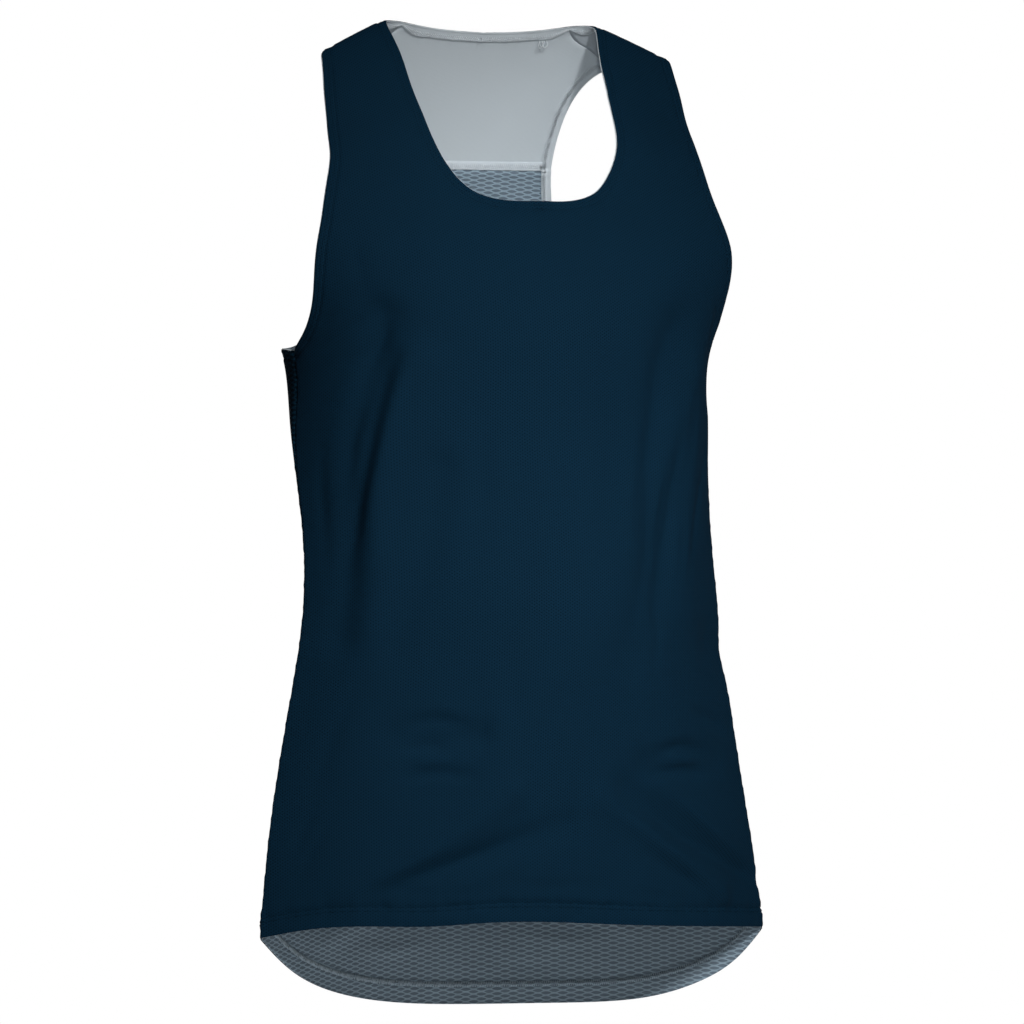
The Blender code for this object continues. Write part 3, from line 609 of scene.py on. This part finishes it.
def arm_lines(armhole, first, last, count):
    """An armhole's edge and its stitching, with the ends at the underarm set on the side seam."""
    edge, inside = armhole.stations(first, last, count, ARM_TURNING)
    below = UNDERARM_DROP + ARM_TURNING
    if first == ARM_FRONT_END:
        inside[0] = side_seam_at(below), math.sqrt(below)
    if first == ARM_BACK_END:
        inside[0] = 2 * SIDE_ANGLE - side_seam_at(below), -math.sqrt(below)
    return edge, inside


def centre_line(first_drop, last_drop, rows, facing, lean=1.0):
    """Places down the centre, the first of them closer together where the lean is over 1."""
    drops = first_drop + (last_drop - first_drop) * np.linspace(0, 1, rows + 1) ** lean
    return np.stack([np.zeros(rows + 1), facing * np.sqrt(drops)], -1)


def body_grids(facing, hem_at, reach):
    """The turned hem and the rest of a panel below the underarm, at the left and at the right."""
    hem_levels = SIDE_HEM_DROP - HEM_TURNING * HEM_SHARES
    levels = np.linspace(hem_levels[-1], UNDERARM_DROP + ARM_TURNING, SIDE_ROWS + 1)
    hems = [hem_grid(hem_levels, facing, hem_at, reach, side) for side in (1, -1)]
    bodies = [hem_grid(levels, facing, hem_at, reach, side) for side in (1, -1)]
    return hems, bodies


def both_halves(grid):
    return [grid, mirrored(grid)]


def rolled_out(grid):
    """A turned edge whose outer line stands a little beyond the cloth."""
    grid = grid.copy()
    grid[:, 0] += ROLLED_OUT * (grid[:, -1] - grid[:, 0])
    return grid


def edge_grids(layouts, edge, sides):
    """A turned edge of several layouts, 0 at the left and 1 at the right."""
    return [both_halves(rolled_out(layout[edge]))[side] for layout in layouts for side in sides]


def end_on_seam(grid, seam):
    """Bends the last rows of a grid into the line of a seam."""
    bend = (seam - grid[-1])[None]
    grid[-FINER - 1 :] += bend * np.linspace(0, 1, FINER + 1)[:, None, None]
    return grid


def front_layout(neck, armhole, shoulder_row):
    """The front's grids of places, and the line of its shoulder seam."""
    neck_edge, neck_inside = neck.stations(0, NECK_AT_SHOULDER, STRAP_ROWS, -NECK_TURNING)
    rows = CHEST_ROWS + STRAP_ROWS
    arm_edge, arm_inside = arm_lines(armhole, ARM_FRONT_END, ARM_AT_SHOULDER, rows)
    top = UNDERARM_DROP + ARM_TURNING
    centre = centre_line(top, neck_inside[0][1] ** 2, CHEST_ROWS, 1)
    neck_inside[-1], arm_inside[-1] = shoulder_row[0], shoulder_row[-1]
    centre, neck_edge, neck_inside = finer(centre), finer(neck_edge), finer(neck_inside)
    arm_edge, arm_inside = finer(arm_edge), finer(arm_inside)
    chest = between(np.concatenate([centre[:-1], neck_inside]), arm_inside, SHARES)
    chest = end_on_seam(chest, shoulder_row)
    hems, bodies = body_grids(1, front_hem_at, FRONT_HEM_REACH)
    return {
        "hems": hems,
        "cloth": bodies + both_halves(chest),
        "neck": between(neck_edge, neck_inside, TURNING_SHARES),
        "arm": between(arm_edge, arm_inside, TURNING_SHARES),
        "shoulder": np.concatenate([neck_edge[-1:], shoulder_row, arm_edge[-1:]]),
    }


def yoke_layout(neck, armhole, shoulder_row):
    """The yoke's grids of places, and the line of its lower seam."""
    nape_edge, nape_inside = neck.stations(NECK_AT_NAPE, NECK_AT_SHOULDER, NAPE_ROWS, -NECK_TURNING)
    low_edge, low_inside = arm_lines(armhole, ARM_AT_YOKE, ARM_AT_ALLOWANCE, 1)
    rows = YOKE_ROWS + NAPE_ROWS
    high_edge, high_inside = arm_lines(armhole, ARM_AT_ALLOWANCE, ARM_AT_SHOULDER, rows)
    nape_inside[-1], high_inside[-1] = shoulder_row[0], shoulder_row[-1]
    centre = centre_line(YOKE_ALLOWANCE_DROP, nape_inside[0][1] ** 2, YOKE_ROWS, -1)
    seam = np.array([[0.0, -math.sqrt(YOKE_SEAM_DROP)]])
    centre, nape_inside = finer(np.concatenate([seam, centre])), finer(nape_inside)
    nape_edge = finer(nape_edge)
    inside = finer(np.concatenate([low_inside[:1], high_inside]))
    edge = finer(np.concatenate([low_edge[:1], high_edge]))
    grid = between(np.concatenate([centre[:-1], nape_inside]), inside, SHARES)
    grid = end_on_seam(grid, shoulder_row)
    return {
        "grid": grid,
        "cloth": both_halves(grid),
        "allowance": both_halves(grid[: FINER + 1]),
        "neck": between(nape_edge, nape_inside, TURNING_SHARES),
        "arm": between(edge, inside, TURNING_SHARES),
        "seam": np.concatenate([grid[0], edge[:1]]),
    }


def back_layout(armhole):
    """The lower back's grids of places."""
    edge, inside = arm_lines(armhole, ARM_BACK_END, ARM_AT_YOKE, RACER_ROWS)
    centre = centre_line(UNDERARM_DROP + ARM_TURNING, YOKE_SEAM_DROP, RACER_ROWS, -1, RACER_LEAN)
    edge, inside, centre = finer(edge), finer(inside), finer(centre)
    hems, bodies = body_grids(-1, tail_at, TAIL_REACH)
    return {
        "hems": hems,
        "cloth": bodies + both_halves(between(centre, inside, SHARES)),
        "arm": between(edge, inside, TURNING_SHARES),
    }


class Course:
    """A line of points on the cloth, for finding how near other points are to it and how far along."""

    def __init__(self, places, groove):
        self.groove = groove
        self.points = cloth_point(places[:, 0], places[:, 1])
        self.steps = np.diff(self.points, axis=0)
        self.lengths = np.linalg.norm(self.steps, axis=1)
        self.runs = np.concatenate([[0], np.cumsum(self.lengths)])

    def relief(self, points):
        """How far the cloth is raised at each point by this line's groove and ripples."""
        groove = self.groove
        reach = GROOVE_END * max(groove.half_width, groove.ripple_reach)
        low, high = self.points.min(0) - reach, self.points.max(0) + reach
        inside = np.all((points > low) & (points < high), axis=1)
        chosen = points[inside]
        raised = np.zeros(len(points))
        if not len(chosen):
            return raised
        nearest = ((self.points**2).sum(1) - 2 * chosen @ self.points.T).argmin(1)
        best = np.full(len(chosen), np.inf)
        run = np.zeros(len(chosen))
        for back in (0, 1):
            i = np.clip(nearest - back, 0, len(self.steps) - 1)
            offset = chosen - self.points[i]
            share = np.clip((offset * self.steps[i]).sum(1) / self.lengths[i] ** 2, 0, 1)
            distance = np.linalg.norm(offset - share[:, None] * self.steps[i], axis=1)
            nearer = distance < best
            best = np.where(nearer, distance, best)
            run = np.where(nearer, self.runs[i] + share * self.lengths[i], run)
        wave = sum(size * np.sin(2 * math.pi * run / length + start) for length, size, start in RIPPLES)
        ripple = groove.ripple * wave * np.exp(-((best / groove.ripple_reach) ** 2))
        raised[inside] = ripple - groove.depth * np.exp(-((best / groove.half_width) ** 2))
        return raised


def place_at_share(rows, shares, wanted):
    """The line of places at one share across a grid whose columns stand at shares."""
    i = int(np.clip(np.searchsorted(shares, wanted) - 1, 0, len(shares) - 2))
    part = (wanted - shares[i]) / (shares[i + 1] - shares[i])
    return rows[:, i] * (1 - part) + rows[:, i + 1] * part


def ring_lines(front, yoke, back, share):
    """The lines round the neck and both armholes at one share across their turned edges."""
    neck_front = place_at_share(front["neck"], TURNING_SHARES, share)
    neck_back = place_at_share(yoke["neck"], TURNING_SHARES, share)
    parts = [neck_front, neck_back]
    for layout in (front, yoke, back):
        parts.append(place_at_share(layout["arm"], TURNING_SHARES, share))
    return [line for part in parts for line in both_halves(part)]


def hem_lines(layout, share):
    """The line along a hem at one share up its turning, from the right side to the left."""
    left, right = (
        place_at_share(np.swapaxes(half, 0, 1), HEM_SHARES, share) for half in layout["hems"]
    )
    return np.concatenate([right[::-1], left[1:]])


def make_courses(front, yoke, back):
    """Every line along which the cloth dips: edges, stitching and seams."""
    courses = [Course(line, EDGE_ROLL) for line in ring_lines(front, yoke, back, 0)]
    courses += [Course(line, OUTER_STITCH) for line in ring_lines(front, yoke, back, STITCH_SHARES[0])]
    courses += [Course(line, INNER_STITCH) for line in ring_lines(front, yoke, back, STITCH_SHARES[1])]
    for layout, groove in ((front, HEM_STITCH), (back, TAIL_STITCH)):
        courses.append(Course(hem_lines(layout, 0), EDGE_ROLL))
        courses.append(Course(hem_lines(layout, HEM_STITCH_SHARES[0]), OUTER_STITCH))
        courses.append(Course(hem_lines(layout, HEM_STITCH_SHARES[1]), groove))
    side = np.concatenate([front["hems"][0][:, -1], front["cloth"][0][1:, -1], front["arm"][0, -2::-1]])
    courses += [Course(line, SEAM) for line in both_halves(side)]
    courses += [Course(line, SHOULDER_ROLL) for line in both_halves(front["shoulder"])]
    courses += [Course(line, SEAM) for line in both_halves(yoke["seam"])]
    return courses


def relief_at(points, courses):
    return sum(course.relief(points) for course in courses)


def on_cloth(places, off, courses):
    """Points that stand off the cloth's outer face, which is minus for inside it."""
    points = cloth_point(places[:, 0], places[:, 1])
    normals = outward(cloth_point, places[:, 0], places[:, 1])
    return points + (relief_at(points, courses) + off)[:, None] * normals


def measured_cloth():
    """The cloth's length round and down to each place of a regular lattice."""
    angles = np.arange(-LATTICE_ANGLE, LATTICE_ANGLE + 1.0)
    climbs = np.linspace(-LATTICE_CLIMB, LATTICE_CLIMB, LATTICE_STEPS + 1)
    points = torso_point(*np.meshgrid(angles, climbs, indexing="ij"))
    round_steps = np.linalg.norm(np.diff(points, axis=0), axis=-1)
    round_length = np.concatenate([np.zeros((1, len(climbs))), np.cumsum(round_steps, axis=0)])
    round_length -= round_length[LATTICE_ANGLE]
    down_steps = np.linalg.norm(np.diff(points, axis=1), axis=-1)
    down_length = np.concatenate([np.zeros((len(angles), 1)), np.cumsum(down_steps, axis=1)], axis=1)
    return np.stack([round_length, down_length], -1)


LATTICE = measured_cloth()


def read_lattice(places):
    """The lengths round and down at places, between the lattice's own."""
    column = np.clip(places[:, 0] + LATTICE_ANGLE, 0, 2 * LATTICE_ANGLE - TINY_ANGLE)
    row = (places[:, 1] + LATTICE_CLIMB) / (2 * LATTICE_CLIMB) * LATTICE_STEPS
    i, j = column.astype(int), row.astype(int)
    s, t = (column - i)[:, None], (row - j)[:, None]
    low = LATTICE[i, j] * (1 - s) + LATTICE[i + 1, j] * s
    high = LATTICE[i, j + 1] * (1 - s) + LATTICE[i + 1, j + 1] * s
    return low * (1 - t) + high * t


def cloth_map(places, facing):
    """The lie of the knit: metres across from the centre, and metres up from the hem."""
    at = read_lattice(places)
    hem = np.stack([places[:, 0], np.full(len(places), facing * math.sqrt(SIDE_HEM_DROP))], -1)
    up = facing * (read_lattice(hem)[:, 1] - at[:, 1])
    return np.stack([at[:, 0], up], -1)


Sheet = namedtuple("Sheet", "name node slot facing outer inner grids")  # facing is 1 in front, -1 behind


def make_shell(sheet, depth, thickness, courses):
    """One thin closed piece of cloth from grids of places, with its own material on each face."""
    places = np.concatenate([grid.reshape(-1, 2) for grid in sheet.grids])
    places, welded = np.unique(np.round(places, WELD_DIGITS), axis=0, return_inverse=True)
    welded = welded.ravel()
    faces = []
    start = 0
    for grid in sheet.grids:
        rows, columns = grid.shape[:2]
        ids = welded[start : start + rows * columns].reshape(rows, columns)
        start += rows * columns
        quads = np.stack([ids[:-1, :-1], ids[:-1, 1:], ids[1:, 1:], ids[1:, :-1]], -1).reshape(-1, 4)
        corner = places[quads]
        first, second = corner[:, 2] - corner[:, 0], corner[:, 3] - corner[:, 1]
        turned = first[:, 0] * second[:, 1] - first[:, 1] * second[:, 0]
        faces.append(quads[:, ::-1] if turned.sum() > 0 else quads)
    faces = np.concatenate(faces)
    count = len(places)
    outer = on_cloth(places, -depth, courses)
    inner = on_cloth(places, -depth - thickness, courses)
    sides = np.concatenate([faces[:, [i, (i + 1) % 4]] for i in range(4)])
    known = {(a, b) for a, b in sides.tolist()}
    rim = np.array([(b, a, a + count, b + count) for a, b in sides.tolist() if (b, a) not in known])
    every = np.concatenate([faces, faces[:, ::-1] + count, rim])
    mesh = bpy.data.meshes.new(sheet.name)
    mesh.from_pydata(np.concatenate([outer, inner]).tolist(), [], every.tolist())
    mesh.materials.append(sheet.outer)
    mesh.materials.append(sheet.inner)
    slots = np.zeros(len(every), np.int32)
    slots[len(faces) : 2 * len(faces)] = 1
    mesh.polygons.foreach_set("material_index", slots)
    mesh.polygons.foreach_set("use_smooth", np.ones(len(every), bool))
    corners = np.zeros(len(mesh.loops), np.int32)
    mesh.loops.foreach_get("vertex_index", corners)
    lie = cloth_map(places, sheet.facing)
    layer = mesh.uv_layers.new(name="cloth")
    layer.data.foreach_set("uv", lie[corners % count].astype(np.float32).ravel())
    obj = bpy.data.objects.new(sheet.name, mesh)
    bpy.context.scene.collection.objects.link(obj)
    return obj


def resampled(line, count):
    """The same line of places with another number of them."""
    at = np.linspace(0, len(line) - 1, count)
    return np.stack([np.interp(at, np.arange(len(line)), line[:, i]) for i in (0, 1)], -1)


def line_length(line):
    points = torso_point(line[:, 0], line[:, 1])
    return np.linalg.norm(np.diff(points, axis=0), axis=1).sum()


def needle_path(line, courses):
    """A needle thread that dips into the cloth between its stitches."""
    count = STITCH_POINTS * max(2, round(line_length(line) / STITCH_LENGTH)) + 1
    places = resampled(line, count)
    dip = np.abs(np.sin(np.arange(count) * math.pi / STITCH_POINTS))
    return on_cloth(places, THREAD * (dip - SUNK), courses)


def zigzag_path(first, second, courses):
    """A looper thread that runs from one needle line to the other and back."""
    count = 2 * max(2, round(line_length(first) / ZIGZAG))
    places = resampled(first, count)
    places[1::2] = resampled(second, count)[1::2]
    return on_cloth(places, -LOOPER_DEPTH, courses)


def needle_lines(front, yoke, back, courses):
    """The needle threads outside, along every turned edge and both hems."""
    lines = [line for share in STITCH_SHARES for line in ring_lines(front, yoke, back, share)]
    lines += [hem_lines(layout, share) for layout in (front, back) for share in HEM_STITCH_SHARES]
    return [needle_path(line, courses) for line in lines]


def thread_end(loop, courses):
    """A loose end of thread that stands off the inside of the cloth in a small loop."""
    places = np.array([(row.angle, climb_of(row.drop)) for row in loop])
    places = spline(np.arange(len(places)), places)(np.linspace(0, len(places) - 1, LOOP_STEPS))
    stand = LOOP_HEIGHT * np.sin(np.linspace(0, math.pi, LOOP_STEPS))
    points = on_cloth(places, -LOOPER_DEPTH, courses)
    return points - stand[:, None] * outward(cloth_point, places[:, 0], places[:, 1])


def looper_lines(front, yoke, back, courses):
    """The looper threads inside the turned edges and the yoke seam, and the loose ends."""
    firsts, seconds = (ring_lines(front, yoke, back, share) for share in STITCH_SHARES)
    firsts += both_halves(yoke["grid"][1])
    seconds += both_halves(yoke["grid"][FINER - 1])
    lines = [zigzag_path(first, second, courses) for first, second in zip(firsts, seconds)]
    return lines + [thread_end(loop, courses) for loop in THREAD_ENDS]


def hem_looper_lines(front, back, courses):
    """The looper thread inside each hem."""
    hems = ((front, HEM_STITCH_SHARES), (back, TAIL_LOOPER_SHARES))
    pairs = [[hem_lines(layout, share) for share in shares] for layout, shares in hems]
    return [zigzag_path(first, second, courses) for first, second in pairs]


def make_threads(name, paths, radius, material):
    """Threads along paths of points, as one mesh of thin tubes."""
    bpy.ops.object.select_all(action="DESELECT")
    curve = bpy.data.curves.new(name, "CURVE")
    curve.dimensions = "3D"
    curve.bevel_depth = radius
    curve.bevel_resolution = 0
    curve.use_fill_caps = True
    for path in paths:
        run = curve.splines.new("POLY")
        run.points.add(len(path) - 1)
        run.points.foreach_set("co", np.concatenate([path, np.ones((len(path), 1))], 1).ravel())
    obj = bpy.data.objects.new(name, curve)
    bpy.context.scene.collection.objects.link(obj)
    obj.select_set(True)
    bpy.context.view_layer.objects.active = obj
    bpy.ops.object.convert(target="MESH")
    bpy.ops.object.shade_smooth()
    obj.data.materials.clear()
    obj.data.materials.append(material)
    return obj


def linear(code):
    """A colour written as a web colour, turned to linear light."""
    parts = [int(code[i : i + 2], 16) / 255 for i in (1, 3, 5)]
    light = [p / 12.92 if p <= 0.04045 else ((p + 0.055) / 1.055) ** 2.4 for p in parts]
    return (*light, 1.0)


def add_node(tree, kind, inputs=None, output=0, **settings):
    """Adds a node with its settings, fills its inputs with values or links, and returns an output."""
    made = tree.nodes.new(kind)
    for name, value in settings.items():
        setattr(made, name, value)
    for socket, value in (inputs or {}).items():
        if isinstance(value, bpy.types.NodeSocket):
            tree.links.new(value, made.inputs[socket])
        else:
            made.inputs[socket].default_value = value
    return made.outputs[output]


def new_material(name, values):
    """A material with a shader whose own sockets hold the values."""
    material = bpy.data.materials.new(name)
    material.use_nodes = True
    shader = material.node_tree.nodes["Principled BSDF"]
    for socket, value in values.items():
        shader.inputs[socket].default_value = value
    return material, material.node_tree, shader


def across_and_up(tree):
    """The two lengths that lay the knit on the cloth."""
    lie = add_node(tree, "ShaderNodeUVMap", uv_map="cloth")
    across = add_node(tree, "ShaderNodeSeparateXYZ", {0: lie}, "X")
    up = add_node(tree, "ShaderNodeSeparateXYZ", {0: lie}, "Y")
    return across, up


def wave_of(tree, length, period):
    """A cosine wave along a length."""
    turn = add_node(tree, "ShaderNodeMath", {0: length, 1: 2 * math.pi / period}, operation="MULTIPLY")
    return add_node(tree, "ShaderNodeMath", {0: turn}, operation="COSINE")


def blotches(tree, size):
    """Soft uneven patches of about a size, from 0 to 1."""
    place = add_node(tree, "ShaderNodeTexCoord", output="Object")
    settings = {"Vector": place, "Scale": 1 / size, "Detail": 2.0}
    return add_node(tree, "ShaderNodeTexNoise", settings, output="Fac")


def uneven(tree, colour, wear):
    """A colour made a little lighter and darker in soft patches."""
    patch = blotches(tree, wear.patch_size)
    ends = {"Value": patch, 3: 1 - wear.patch_share, 4: 1 + wear.patch_share}
    level = add_node(tree, "ShaderNodeMapRange", ends)
    return add_node(tree, "ShaderNodeVectorMath", {0: colour, 3: level}, operation="SCALE")


def finish_knit(tree, shader, pattern, dark, light, wear):
    """Colours a knit by its pattern, makes it a little uneven, and raises it."""
    ends = {0: pattern, 6: linear(dark), 7: linear(light)}
    colour = add_node(tree, "ShaderNodeMix", ends, 2, data_type="RGBA")
    tree.links.new(uneven(tree, colour, wear), shader.inputs["Base Color"])
    relief = {"Height": pattern, "Distance": wear.relief, "Strength": 1.0}
    tree.links.new(add_node(tree, "ShaderNodeBump", relief), shader.inputs["Normal"])


def sunken(tree, value, edge):
    """Falls softly from 1 to 0 between the two values of an edge."""
    ends = {"Value": value, 1: edge[0], 2: edge[1], 3: 1.0, 4: 0.0}
    return add_node(tree, "ShaderNodeMapRange", ends, interpolation_type="SMOOTHSTEP")


def dotted_pique(name, dark, light, values):
    """Polyester pique: staggered upright dashes in a flat ground."""
    material, tree, shader = new_material(name, values)
    across, up = across_and_up(tree)
    columns = wave_of(tree, across, 2 * DASH_ACROSS)
    narrow = add_node(tree, "ShaderNodeMath", {0: columns, 1: DASH_NARROWING}, operation="POWER")
    rows = wave_of(tree, up, DASH_DOWN)
    weave = add_node(tree, "ShaderNodeMath", {0: narrow, 1: rows}, operation="MULTIPLY")
    finish_knit(tree, shader, sunken(tree, weave, DASH_EDGE), dark, light, PIQUE_WEAR)
    return material


def ribbed_knit(name, dark, light, values):
    """Smooth knit with very fine upright ribs."""
    material, tree, shader = new_material(name, values)
    across, _ = across_and_up(tree)
    ribs = wave_of(tree, across, RIB)
    pattern = add_node(tree, "ShaderNodeMapRange", {"Value": ribs, 1: -1.0, 2: 1.0})
    finish_knit(tree, shader, pattern, dark, light, RIB_WEAR)
    return material


def lens_mesh(name, dark, light, values):
    """Polyester mesh: lens-shaped hollows in staggered rows, between raised threads."""
    material, tree, shader = new_material(name, values)
    across, up = across_and_up(tree)
    columns = wave_of(tree, across, MESH_ACROSS)
    rows = wave_of(tree, up, MESH_DOWN)
    apart = add_node(tree, "ShaderNodeMath", {0: rows, 1: columns}, operation="SUBTRACT")
    spread = add_node(tree, "ShaderNodeMath", {0: apart}, operation="ABSOLUTE")
    finish_knit(tree, shader, sunken(tree, spread, LENS_EDGE), dark, light, MESH_WEAR)
    return material


def plain_material(name, colour, values):
    """One colour with a little unevenness."""
    material, tree, shader = new_material(name, values)
    tree.links.new(uneven(tree, linear(colour)[:3], PLAIN_WEAR), shader.inputs["Base Color"])
    return material


CLOTH_SHINE = {"Roughness": 0.90, "Specular IOR Level": 0.03}
INSIDE_SHINE = {"Roughness": 0.85, "Specular IOR Level": 0.20}
THREAD_SHINE = {"Roughness": 0.55, "Specular IOR Level": 0.10}

neck = Line(NECK)
armhole = Line(ARMHOLE)
shoulder_row = Line(SHOULDER_SEAM).row(SHOULDER_NECK_STEP, SHOULDER_ARM_STEP, SHARES)
front = front_layout(neck, armhole, shoulder_row)
yoke = yoke_layout(neck, armhole, shoulder_row)
back = back_layout(armhole)
courses = make_courses(front, yoke, back)

pique_outside = dotted_pique("navy_dotted_pique", "#04151f", "#0c283b", CLOTH_SHINE)
pique_inside = ribbed_knit("pale_back_of_pique", "#a3acb3", "#b0b8be", INSIDE_SHINE)
smooth_outside = ribbed_knit("navy_smooth_knit", "#08202f", "#0a2535", CLOTH_SHINE)
smooth_inside = ribbed_knit("pale_smooth_knit", "#c5ced4", "#ccd5da", INSIDE_SHINE)
seam_inside = ribbed_knit("pale_seam_allowance", "#c9d2d9", "#d5dde3", INSIDE_SHINE)
mesh_outside = lens_mesh("navy_mesh_knit", "#051722", "#0b2839", CLOTH_SHINE)
mesh_inside = lens_mesh("grey_blue_mesh_knit", "#6b7a86", "#95a9b7", INSIDE_SHINE)
edge_cloth = ribbed_knit("pale_turned_edge", "#c6cfd5", "#d2dadf", INSIDE_SHINE)
# The needle thread's navy is set dark so that the stitch lines read as the shadow in their grooves: partly
# the thread's own colour, partly painted shade.
navy_thread_with_painted_shade = plain_material("navy_sewing_thread_with_painted_shade", "#061c2a", CLOTH_SHINE)
pale_thread = plain_material("pale_sewing_thread", "#dbe1e5", THREAD_SHINE)
blue_thread = plain_material("grey_blue_sewing_thread", "#c3d4df", THREAD_SHINE)

neck_edges = edge_grids([front, yoke], "neck", (0, 1))
left_edges = edge_grids([front, yoke, back], "arm", (0,))
right_edges = edge_grids([front, yoke, back], "arm", (1,))
front_grids = front["hems"] + front["cloth"] + both_halves(front["neck"]) + both_halves(front["arm"])
yoke_grids = yoke["cloth"] + both_halves(yoke["neck"]) + both_halves(yoke["arm"])
back_grids = back["hems"] + back["cloth"] + both_halves(back["arm"])
PIQUE = pique_outside, pique_inside
SMOOTH = smooth_outside, smooth_inside
MESH = mesh_outside, mesh_inside
EDGE = edge_cloth, edge_cloth
LOOSE = seam_inside, seam_inside
panels = [
    Sheet("front_cloth", "front_panel", "dotted_pique", 1, *PIQUE, front_grids),
    Sheet("yoke_cloth", "back_yoke", "smooth_knit", -1, *SMOOTH, yoke_grids),
    Sheet("back_cloth", "back_panel", "diamond_mesh", -1, *MESH, back_grids),
]
turnings = [
    Sheet("neck_turning", "neck_band", "turned_edge", -1, *EDGE, neck_edges),
    Sheet("armhole_turning_left", "armhole_band_left", "turned_edge", -1, *EDGE, left_edges),
    Sheet("armhole_turning_right", "armhole_band_right", "turned_edge", -1, *EDGE, right_edges),
    Sheet("front_hem_turning", "front_hem_turnup", "turned_edge", 1, *EDGE, front["hems"]),
    Sheet("back_hem_turning", "back_hem_turnup", "diamond_mesh", -1, mesh_inside, mesh_inside, back["hems"]),
    Sheet("yoke_seam_allowance", "yoke_seam_band", "smooth_knit", -1, *LOOSE, yoke["allowance"]),
]
piece = {}
for depth, thickness, sheets in ((0.0, CLOTH, panels), (TURNED_DEPTH, TURNED_CLOTH, turnings)):
    for sheet in sheets:
        piece[sheet.name] = make_shell(sheet, depth, thickness, courses)
        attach(piece[sheet.name], "root")
        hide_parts(sheet.node)

threads = [
    make_threads("needle_threads", needle_lines(front, yoke, back, courses), THREAD, navy_thread_with_painted_shade),
    make_threads("looper_threads", looper_lines(front, yoke, back, courses), LOOPER, pale_thread),
    make_threads("hem_looper_threads", hem_looper_lines(front, back, courses), HEM_LOOPER, blue_thread),
]
for thread in threads:
    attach(thread, "root")

# ---------- studio ----------
CAMERA_TURN = math.radians(25)  # the camera stands this far towards the wearer's right
CAMERA_DISTANCE = 6.0
TARGET_ACROSS = 0.01679
TARGET_UP = -0.35916
SHOWN_WIDTH = 0.74752  # of the scene at the target
SENSOR = 36.0
FLOOR_LEVEL = -0.95
FLOOR_SIDE = 3.2
AMBIENT = 0.04  # strength of the light from all round

sight = Vector((math.sin(CAMERA_TURN), math.cos(CAMERA_TURN), 0.0))
right = Vector((math.cos(CAMERA_TURN), -math.sin(CAMERA_TURN), 0.0))
target = TARGET_ACROSS * right + Vector((0.0, 0.0, TARGET_UP))
camera_data = bpy.data.cameras.new("camera")
camera_data.sensor_width = SENSOR
camera_data.lens = SENSOR * CAMERA_DISTANCE / SHOWN_WIDTH
camera = bpy.data.objects.new("camera", camera_data)
camera.location = target - CAMERA_DISTANCE * sight
camera.rotation_euler = (math.pi / 2, 0.0, -CAMERA_TURN)
bpy.context.scene.collection.objects.link(camera)
bpy.context.scene.camera = camera

Spot = namedtuple("Spot", "angle width aim")
SPOTS = {
    "key": Spot(22, 0.355, Vector((0.01, 0.0, -0.45))),  # an upright oval that lights the middle most
    "neck": Spot(4.0, 0.80, Vector((0.04, 0.06, -0.05))),  # a small fill for the inside of the back
}
Lamp = namedtuple("Lamp", "name kind place size depth power")
LAMPS = [
    Lamp("key", "SPOT", Vector((-0.15, -2.8, 1.10)), 0.30, 0.0, 770.0),
    Lamp("neck", "SPOT", Vector((-1.10, -2.6, 0.20)), 0.10, 0.0, 148.0),
    Lamp("low", "AREA", Vector((0.35, -2.8, -0.55)), 1.0, 1.0, 4.2),
    Lamp("card", "AREA", Vector((0.05, -0.08, -0.93)), 0.45, 0.12, 0.20),  # a card under the hem
    Lamp("behind", "AREA", Vector((1.1, 2.8, 1.10)), 1.6, 1.6, 110.0),
]
for lamp in LAMPS:
    light = bpy.data.lights.new(lamp.name, lamp.kind)
    light.energy = lamp.power
    if lamp.kind == "SPOT":
        light.shadow_soft_size = lamp.size
        light.spot_size = math.radians(SPOTS[lamp.name].angle)
        light.spot_blend = 1.0
    else:
        light.shape = "RECTANGLE"
        light.size = lamp.size
        light.size_y = lamp.depth
    holder = bpy.data.objects.new(lamp.name, light)
    holder.location = lamp.place
    holder.scale.x = SPOTS[lamp.name].width if lamp.kind == "SPOT" else 1.0
    aim = SPOTS[lamp.name].aim if lamp.kind == "SPOT" else target
    holder.rotation_euler = (aim - holder.location).to_track_quat("-Z", "Y").to_euler()
    bpy.context.scene.collection.objects.link(holder)

world = bpy.data.worlds.new("studio")
world.use_nodes = True
bpy.context.scene.world = world
tree = world.node_tree
ambient = add_node(tree, "ShaderNodeBackground", {"Color": (1, 1, 1, 1), "Strength": AMBIENT})
backdrop = add_node(tree, "ShaderNodeBackground", {"Color": (1, 1, 1, 1), "Strength": 1.0})
seen = add_node(tree, "ShaderNodeLightPath", output="Is Camera Ray")
mixed = add_node(tree, "ShaderNodeMixShader", {0: seen, 1: ambient, 2: backdrop})
tree.links.new(mixed, tree.nodes["World Output"].inputs["Surface"])

bpy.ops.mesh.primitive_plane_add(size=FLOOR_SIDE, location=(0.0, 0.0, FLOOR_LEVEL))
floor = bpy.context.active_object
floor.name = "floor"
floor.data.materials.append(plain_material("pale_floor", "#e6e6e6", {"Roughness": 0.9}))

bpy.context.scene.view_settings.view_transform = "Standard"
